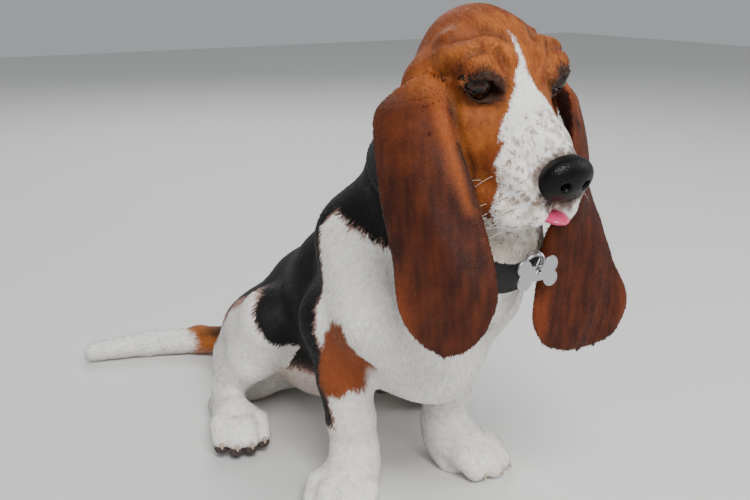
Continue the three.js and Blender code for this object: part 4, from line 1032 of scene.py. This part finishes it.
for side, name in ((-1, "right"), (1, "left")):
    gaze = FORWARD * 0.86 + LEFTWARD * side * 0.36 - UPWARD * 0.12
    gaze /= np.linalg.norm(gaze)
    ways, faces = ball_grid(48, 64)
    off = np.arccos(np.clip(ways @ gaze, -1, 1))
    bulge = EYEBALL_RADIUS + CORNEA_RISE * smooth_step(0.66, 0.2, off)
    corners = np.array(on_head(EYE_BACK, side * EYE_SPREAD, EYE_DROP)) + ways * bulge[:, None]
    streak = ripple_noise(ways * 30, 3, 31)
    colour = plain("#2b1d18", len(ways))
    colour = mixed(colour, "#180c07", smooth_step(0.72, 0.64, off))
    colour = mixed(colour, "#3a1e10", smooth_step(0.6, 0.5, off) * (0.5 + 0.4 * streak))
    colour = mixed(colour, "#050404", smooth_step(0.36, 0.31, off))
    eyeball = piece_of("eyeball_" + name, corners, faces, eye_wet)
    paint(eyeball, np.clip(colour, 0, 1))
    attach(eyeball, "root")
    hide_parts("eye_" + name)
    haw_line = [on_head(f, side * l, u, r) for f, l, u, r in (
        (1.4, 28, -7.2, 0.4), (1, 30.5, -6.6, 1.1), (0.2, 33, -5.4, 1.4), (-1, 35.5, -3.4, 1.1),
        (-2.2, 37, -1.1, 0.4))]
    haw = piece_of("haw_" + name, *rod(smooth_line(haw_line)), wet_flesh)
    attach(haw, "root")


# The nose is bare, moist, black pebbled leather, cut deep by the nostrils.
nose_clay = Clay(grid_lines((-25, 25, 0.7)), grid_lines((-196, -158, 0.7)), grid_lines((246, 294, 0.7)))
sculpt_head(nose_clay)
nose_clay.value += 0.25
x, y, z = (axis.reshape([-1 if n == m else 1 for m in range(3)]) for n, axis in enumerate(nose_clay.axes))
leather = oval_distance((x, y, z), on_head(66, 0, -19), (15, 21.5, 15.5))
nose_clay.value = -smooth_min(-nose_clay.value, -leather.astype(np.float32), 2.5)
nose_leather, nose_tree, nose_shader = surface(
    "moist_black_nose_leather", Base_Color=linear("#070606"), Roughness=0.36, IOR=1.4,
    Specular_IOR_Level=0.25)
place = node(nose_tree, "ShaderNodeTexCoord")
pebbles = node(nose_tree, "ShaderNodeTexVoronoi", {"Scale": 900, "Randomness": 0.9},
               {"Vector": place.outputs["Object"]})
bumped(nose_tree, nose_shader, pebbles.outputs["Distance"], 0.5, 0.0004)
nose = piece_of("nose_pad", *surface_of(nose_clay), nose_leather)
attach(nose, "root")
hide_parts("nose")


# The tongue's pink tip shows between the lips, wet, with a shallow furrow.
tongue_flesh, tongue_tree, tongue_shader = surface(
    "wet_tongue", Base_Color=linear("#c8436c"), Roughness=0.28, IOR=1.4, Subsurface_Weight=0.15,
    Coat_Weight=0.3, Coat_Roughness=0.15)
place = node(tongue_tree, "ShaderNodeTexCoord")
buds = node(
    tongue_tree, "ShaderNodeTexNoise", {"Scale": 1100, "Detail": 3}, {"Vector": place.outputs["Object"]})
bumped(tongue_tree, tongue_shader, buds.outputs["Fac"], 0.3, 0.0003)
ways, faces = ball_grid(40, 48)
tilt = math.radians(12)
flat = ways * np.array([9.5, 14, 3.4])
flat[:, 2] -= 1.1 * np.exp(-((flat[:, 0] / 1.8) ** 2)) * (flat[:, 2] > 0)
corners = np.stack([
    flat[:, 0], flat[:, 1] * math.cos(tilt) - flat[:, 2] * math.sin(tilt) - 164,
    flat[:, 1] * math.sin(tilt) + flat[:, 2] * math.cos(tilt) + 246.5], 1)
tongue = piece_of("tongue_tip", corners, faces, tongue_flesh)
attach(tongue, "root")
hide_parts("tongue")


# Claws of horn, pinkish and translucent, grow from the end of each toe and curve down. Under the hind toes
# and heel lie pads of thick, dark, cracked skin.
horn, _, _ = surface("pinkish_claw_horn", Base_Color=linear("#b39a88"), Roughness=0.4, IOR=1.54,
                     Subsurface_Weight=0.1)
pad_skin, pad_tree, pad_shader = surface(
    "cracked_pad_skin", Base_Color=linear("#4a3a38"), Roughness=0.75, IOR=1.45)
place = node(pad_tree, "ShaderNodeTexCoord")
cracks = node(pad_tree, "ShaderNodeTexVoronoi", {"Scale": 700}, {"Vector": place.outputs["Object"]})
bumped(pad_tree, pad_shader, cracks.outputs["Distance"], 0.6, 0.0005)
for side, name in ((-1, "right"), (1, "left")):
    for paw, place_on, toes, height in (("fore", FRONT_PAW[side], FRONT_TOES, 9.5),
                                        ("hind", HIND_PAW[side], HIND_TOES, 17)):
        for number, (outward, reach) in enumerate(toes, 1):
            claw_line = [
                place_on(reach + 2, outward * 1.08, height, 2.3),
                place_on(reach + 6.5, outward * 1.09, height - 1, 2),
                place_on(reach + 9, outward * 1.1, height - 3, 1.3),
                place_on(reach + 10, outward * 1.1, height - 4.6, 0.5)]
            claw = piece_of(f"claw_{paw}_{name}_{number}", *rod(smooth_line(claw_line, 6), 12), horn)
            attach(claw, "root")
    ways, faces = ball_grid(16, 20)
    pads = [(reach + 0.5, outward * 1.05, 10.2, 7, 6.2, 5.2) for outward, reach in HIND_TOES]
    pads.append((13, 0, 9, 11, 13, 8))
    for number, (forward, outward, up, *half) in enumerate(pads, 1):
        corners = [
            HIND_PAW[side](forward + w[0] * half[0], outward + w[1] * half[1], up + w[2] * half[2])
            for w in ways
        ]
        pad = piece_of(f"pad_hind_{name}_{number}", corners, faces, pad_skin)
        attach(pad, "root")


# Whiskers are stiff, tapering white and dark hairs that stand out from the flews, curve back and droop.
whisker_hair, whisker_tree, whisker_shader = surface("stiff_whisker_hair", Roughness=0.4, IOR=1.55)
whisker_paint = node(whisker_tree, "ShaderNodeVertexColor", {"layer_name": "Coat"})
whisker_tree.links.new(whisker_paint.outputs["Color"], whisker_shader.inputs["Base Color"])
WHISKERS_EACH_SIDE = 16
f, l, u = head_place(skin_corners)
for side, name in ((-1, "right"), (1, "left")):
    aside = side * l
    on_flew = np.nonzero((f > 22) & (f < 62) & (aside > 13) & (aside < 33) & (u < -34) & (u > -62))[0]
    hairs, hair_colours = [], []
    for number, root in enumerate(draw.choice(on_flew, WHISKERS_EACH_SIDE, replace=False)):
        length = draw.uniform(14, 30)
        out, down, back = draw.uniform(0.6, 0.9), draw.uniform(0.3, 0.8), draw.uniform(0, 0.5)
        way = LEFTWARD * side * out - UPWARD * down - FORWARD * back
        way /= np.linalg.norm(way)
        stations = [
            [*(skin_corners[root] + way * length * t - np.array([0, 0, 5]) * t ** 2), 0.1 * (1 - t) + 0.03]
            for t in np.linspace(-0.05, 1, 8)
        ]
        hairs.append(rod(stations, 5))
        hair_colours.append(plain("#3a2a22" if number % 4 == 0 else "#efe9df", len(hairs[-1][0])))
    whiskers = piece_of("whiskers_" + name, *joined(hairs), whisker_hair)
    paint(whiskers, np.vstack(hair_colours))
    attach(whiskers, "root")


# The collar is black nylon webbing 25 mm wide and 2.4 mm thick, sewn back on itself round the ring with two
# rows of thread along its edges, and closed at the nape by a side-release buckle.
COLLAR_THICKNESS, COLLAR_SINK = 2.4, 1.2
webbing, webbing_tree, webbing_shader = surface(
    "black_nylon_webbing", Base_Color=linear("#070708"), Roughness=0.75, IOR=1.53)
# The ribs of real webbing are 1.3 mm apart.
RIB_SPACING = 0.0013
place = node(webbing_tree, "ShaderNodeTexCoord")
weft, warp = (
    node(webbing_tree, "ShaderNodeTexWave", {"bands_direction": direction, "Scale": 0.314 / spacing},
         {"Vector": place.outputs["UV"]})
    for direction, spacing in (("X", 2 * RIB_SPACING), ("Y", RIB_SPACING))
)
weave = node(webbing_tree, "ShaderNodeMath", {"operation": "MULTIPLY"},
             {0: weft.outputs["Fac"], 1: warp.outputs["Fac"]})
bumped(webbing_tree, webbing_shader, weave.outputs[0], 0.8, 0.0004)

neck_clay = Clay(grid_lines((-80, 80, 3)), grid_lines((-160, 40, 3)), grid_lines((150, 330, 3)))
sculpt_neck(neck_clay)
sculpt_trunk(neck_clay)
COLLAR_BACK = np.array([0, 0.811, 0.584])


def clay_depth(clay, places):
    """The distance that the clay holds at any places, from the eight samples round each."""
    cells, shares = [], []
    for axis, values in zip(clay.axes, places.T):
        spot = np.clip((values - axis[0]) / (axis[1] - axis[0]), 0, len(axis) - 1.001)
        cells.append(spot.astype(int))
        shares.append(spot - spot.astype(int))
    depth = 0
    for bits in ((i, j, k) for i in (0, 1) for j in (0, 1) for k in (0, 1)):
        weight = np.prod([share if bit else 1 - share for share, bit in zip(shares, bits)], axis=0)
        depth = depth + weight * clay.value[tuple(cell + bit for cell, bit in zip(cells, bits))]
    return depth


def collar_places(angles, along, outward):
    """Places on the collar, by the turn about the neck from the throat, along the neck and outward."""
    way = -np.cos(angles)[:, None] * COLLAR_BACK + np.sin(angles)[:, None] * LEFTWARD
    start = COLLAR_MIDDLE + np.asarray(along, float)[:, None] * COLLAR_AXIS
    reach = np.full(len(angles), 20.0)
    for step in (32, 16, 8, 4, 2, 1, 0.5, 0.25, 0.12):
        reach += step * (clay_depth(neck_clay, start + way * (reach + step)[:, None]) < -COLLAR_SINK)
    return start + way * (reach + outward)[:, None]


TURNS = 260
NECK_RADIUS = 55
half_width, edge_round = COLLAR_WIDTH / 2, 0.9
profile = [(-half_width, 0.3), (-half_width, COLLAR_THICKNESS - edge_round),
           (-half_width + 0.3, COLLAR_THICKNESS - 0.3), (-half_width + edge_round, COLLAR_THICKNESS)]
profile += [(across, COLLAR_THICKNESS) for across in (-9, -6, -3, 0, 3, 6, 9)]
profile += [(-across, outward) for across, outward in profile[3::-1]]
profile += [(6, 0), (0, 0), (-6, 0)]
angles = np.repeat(np.arange(TURNS) * 2 * math.pi / TURNS, len(profile))
along, outward = np.tile(np.array(profile, float), (TURNS, 1)).T
corners = collar_places(angles, along, outward)
turn, row = np.meshgrid(np.arange(TURNS), np.arange(len(profile)), indexing="ij")
next_turn, next_row = (turn + 1) % TURNS, (row + 1) % len(profile)
faces = np.stack([turn * len(profile) + row, next_turn * len(profile) + row,
                  next_turn * len(profile) + next_row, turn * len(profile) + next_row], -1).reshape(-1, 4)
band = piece_of("collar_webbing", corners, faces, webbing)
layer = band.data.uv_layers.new(name="Weave")
run = np.stack([angles * NECK_RADIUS / 1000, along / 1000], 1)
wrapped = run[faces.ravel()].reshape(-1, 4, 2)
behind_seam = wrapped[:, :, 0] < wrapped[:, :, 0].max(1)[:, None] - 0.2
wrapped[:, :, 0] += behind_seam * 2 * math.pi * NECK_RADIUS / 1000
layer.data.foreach_set("uv", wrapped.astype(np.float32).ravel())
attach(band, "root")
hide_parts("collar")

ways, faces = ball_grid(24, 32)
KEEPER_MIDDLE, KEEPER_HALF = np.array([4, -141.6, 203.5]), np.array([3.5, 4.1, 4])
corners = KEEPER_MIDDLE + KEEPER_HALF * np.sign(ways) * np.abs(ways) ** 0.4
keeper = piece_of("ring_keeper", corners, faces, webbing)
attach(keeper, "root")

thread, _, _ = surface("black_polyester_thread", Base_Color=linear("#232325"), Roughness=0.55, IOR=1.55)
STITCH, STITCH_PITCH = 3.0, 4.0
stitch_rods = []
for across in (-9.5, 9.5):
    for number in range(int(2 * math.pi * NECK_RADIUS / STITCH_PITCH)):
        middle = number * STITCH_PITCH / NECK_RADIUS
        spots = middle + np.array([-0.5, -0.25, 0.25, 0.5]) * STITCH / NECK_RADIUS
        rises = COLLAR_THICKNESS + np.array([-0.2, 0.18, 0.18, -0.2])
        stations = np.column_stack([collar_places(spots, np.full(4, across), rises), np.full(4, 0.3)])
        stitch_rods.append(rod(stations, 6))
stitches = piece_of("collar_stitches", *joined(stitch_rods), thread)
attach(stitches, "root")

acetal, _, _ = surface("black_moulded_acetal", Base_Color=linear("#101012"), Roughness=0.38, IOR=1.48)
nape = collar_places(np.array([math.pi]), [0], np.array([COLLAR_THICKNESS + 1.6]))[0]
for name, aside, half in (("buckle_socket", 7, (10, 14, 3)), ("buckle_plug", -10.5, (7, 13, 2.6))):
    rounded = np.sign(ways) * np.abs(ways) ** 0.3 * np.array(half)
    corners = (
        nape + LEFTWARD * aside + rounded[:, :1] * LEFTWARD + rounded[:, 1:2] * COLLAR_AXIS
        + rounded[:, 2:] * COLLAR_BACK
    )
    buckle = piece_of(name, corners, faces, acetal)
    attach(buckle, "root")


# The ring, the split ring of two turns of spring wire and the bone-shaped tag are polished steel, scuffed
# by wear. They hang linked from the collar's keeper, and the tag is left bare.
steel, steel_tree, steel_shader = surface(
    "polished_steel_with_scuffs", Base_Color=linear("#b9b8bd"), Metallic=1.0, Roughness=0.28)
place = node(steel_tree, "ShaderNodeTexCoord")
scuffs = node(steel_tree, "ShaderNodeTexNoise", {"Scale": 900, "Detail": 6, "Distortion": 1.5},
              {"Vector": place.outputs["Object"]})
rough = node(
    steel_tree, "ShaderNodeMapRange", {"To Min": 0.2, "To Max": 0.48}, {"Value": scuffs.outputs["Fac"]})
steel_tree.links.new(rough.outputs["Result"], steel_shader.inputs["Roughness"])
bumped(steel_tree, steel_shader, scuffs.outputs["Fac"], 0.15, 0.0001)


ROUND_STEPS, WIRE_STEPS = 64, 16


def wire_ring(middle, one, other, radius, wire):
    """Corners and faces of a round ring lying along two directions; wire is half the wire's thickness."""
    big, small = np.meshgrid(np.arange(ROUND_STEPS), np.arange(WIRE_STEPS), indexing="ij")
    around, about = big * 2 * math.pi / ROUND_STEPS, small * 2 * math.pi / WIRE_STEPS
    out = np.cos(around)[..., None] * one + np.sin(around)[..., None] * other
    up = np.cross(one, other)
    corners = middle + out * (radius + wire * np.cos(about))[..., None]
    corners = corners + up * (wire * np.sin(about))[..., None]
    here, ahead = big * WIRE_STEPS, (big + 1) % ROUND_STEPS * WIRE_STEPS
    beside = (small + 1) % WIRE_STEPS
    faces = np.stack([here + small, ahead + small, ahead + beside, here + beside], -1)
    return corners.reshape(-1, 3), faces.reshape(-1, 4)


RING_RADIUS, RING_HALF_WIRE = 7.5, 1.2
RING_LEAN, SPLIT_TURN = math.radians(25), math.radians(-70)
ring_foot = np.array([4, -143, 203.5])
ring_way = np.array([0, -math.sin(RING_LEAN), math.cos(RING_LEAN)])
ring_middle = ring_foot + RING_RADIUS * ring_way
ring = piece_of(
    "welded_ring", *wire_ring(ring_middle, LEFTWARD, ring_way, RING_RADIUS, RING_HALF_WIRE), steel)
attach(ring, "root")
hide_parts("collar_ring")
SPLIT_RADIUS, SPLIT_WIRE, PLAY = 6, 0.9, 0.3
split_way = np.array([math.cos(SPLIT_TURN), math.sin(SPLIT_TURN), 0])
split_drop = SPLIT_RADIUS - RING_HALF_WIRE - SPLIT_WIRE - 2 * PLAY
split_middle = ring_foot + 2 * RING_RADIUS * ring_way - np.array([0, 0, split_drop])
across_split = np.cross(split_way, [0, 0, 1])
turns_of_wire = [
    wire_ring(split_middle + across_split * shift, split_way, np.array([0, 0, 1.0]),
              SPLIT_RADIUS, SPLIT_WIRE / 2)
    for shift in (-SPLIT_WIRE / 2, SPLIT_WIRE / 2)
]
split_ring = piece_of("split_ring_wire", *joined(turns_of_wire), steel)
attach(split_ring, "root")
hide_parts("split_ring")

TAG_HALF_LENGTH, TAG_HALF_THICKNESS, TAG_KNOB, TAG_BAR = 16, 0.8, 5.5, 5
TAG_HOLE, TAG_HOLE_RISE, TAG_FORWARD = 2.2, 1.8, 1.6
tag_middle = split_middle - np.array([
    TAG_FORWARD / math.tan(SPLIT_TURN), TAG_FORWARD,
    SPLIT_RADIUS + TAG_HOLE - SPLIT_WIRE - 3 * PLAY + TAG_HOLE_RISE])
plate = Clay(*(grid_lines((-reach, reach, 0.3)) + tag_middle[n] for n, reach in enumerate((17, 1.6, 11))))
x, y, z = np.meshgrid(*(axis - tag_middle[n] for n, axis in enumerate(plate.axes)), indexing="ij")
knob_across = TAG_HALF_LENGTH - TAG_KNOB
outline = np.maximum(np.abs(x) - knob_across, np.abs(z) - TAG_BAR)
for across in (-knob_across, knob_across):
    for up in (-TAG_KNOB + 1, TAG_KNOB - 1):
        outline = smooth_min(outline, np.hypot(x - across, z - up) - TAG_KNOB, 1)
outline = np.maximum(outline, TAG_HOLE - np.hypot(x, z - TAG_HOLE_RISE))
plate.value = -smooth_min(-outline, TAG_HALF_THICKNESS - np.abs(y), 0.7)
tag = piece_of("bone_tag", *surface_of(plate), steel)
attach(tag, "root")
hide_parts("tag")
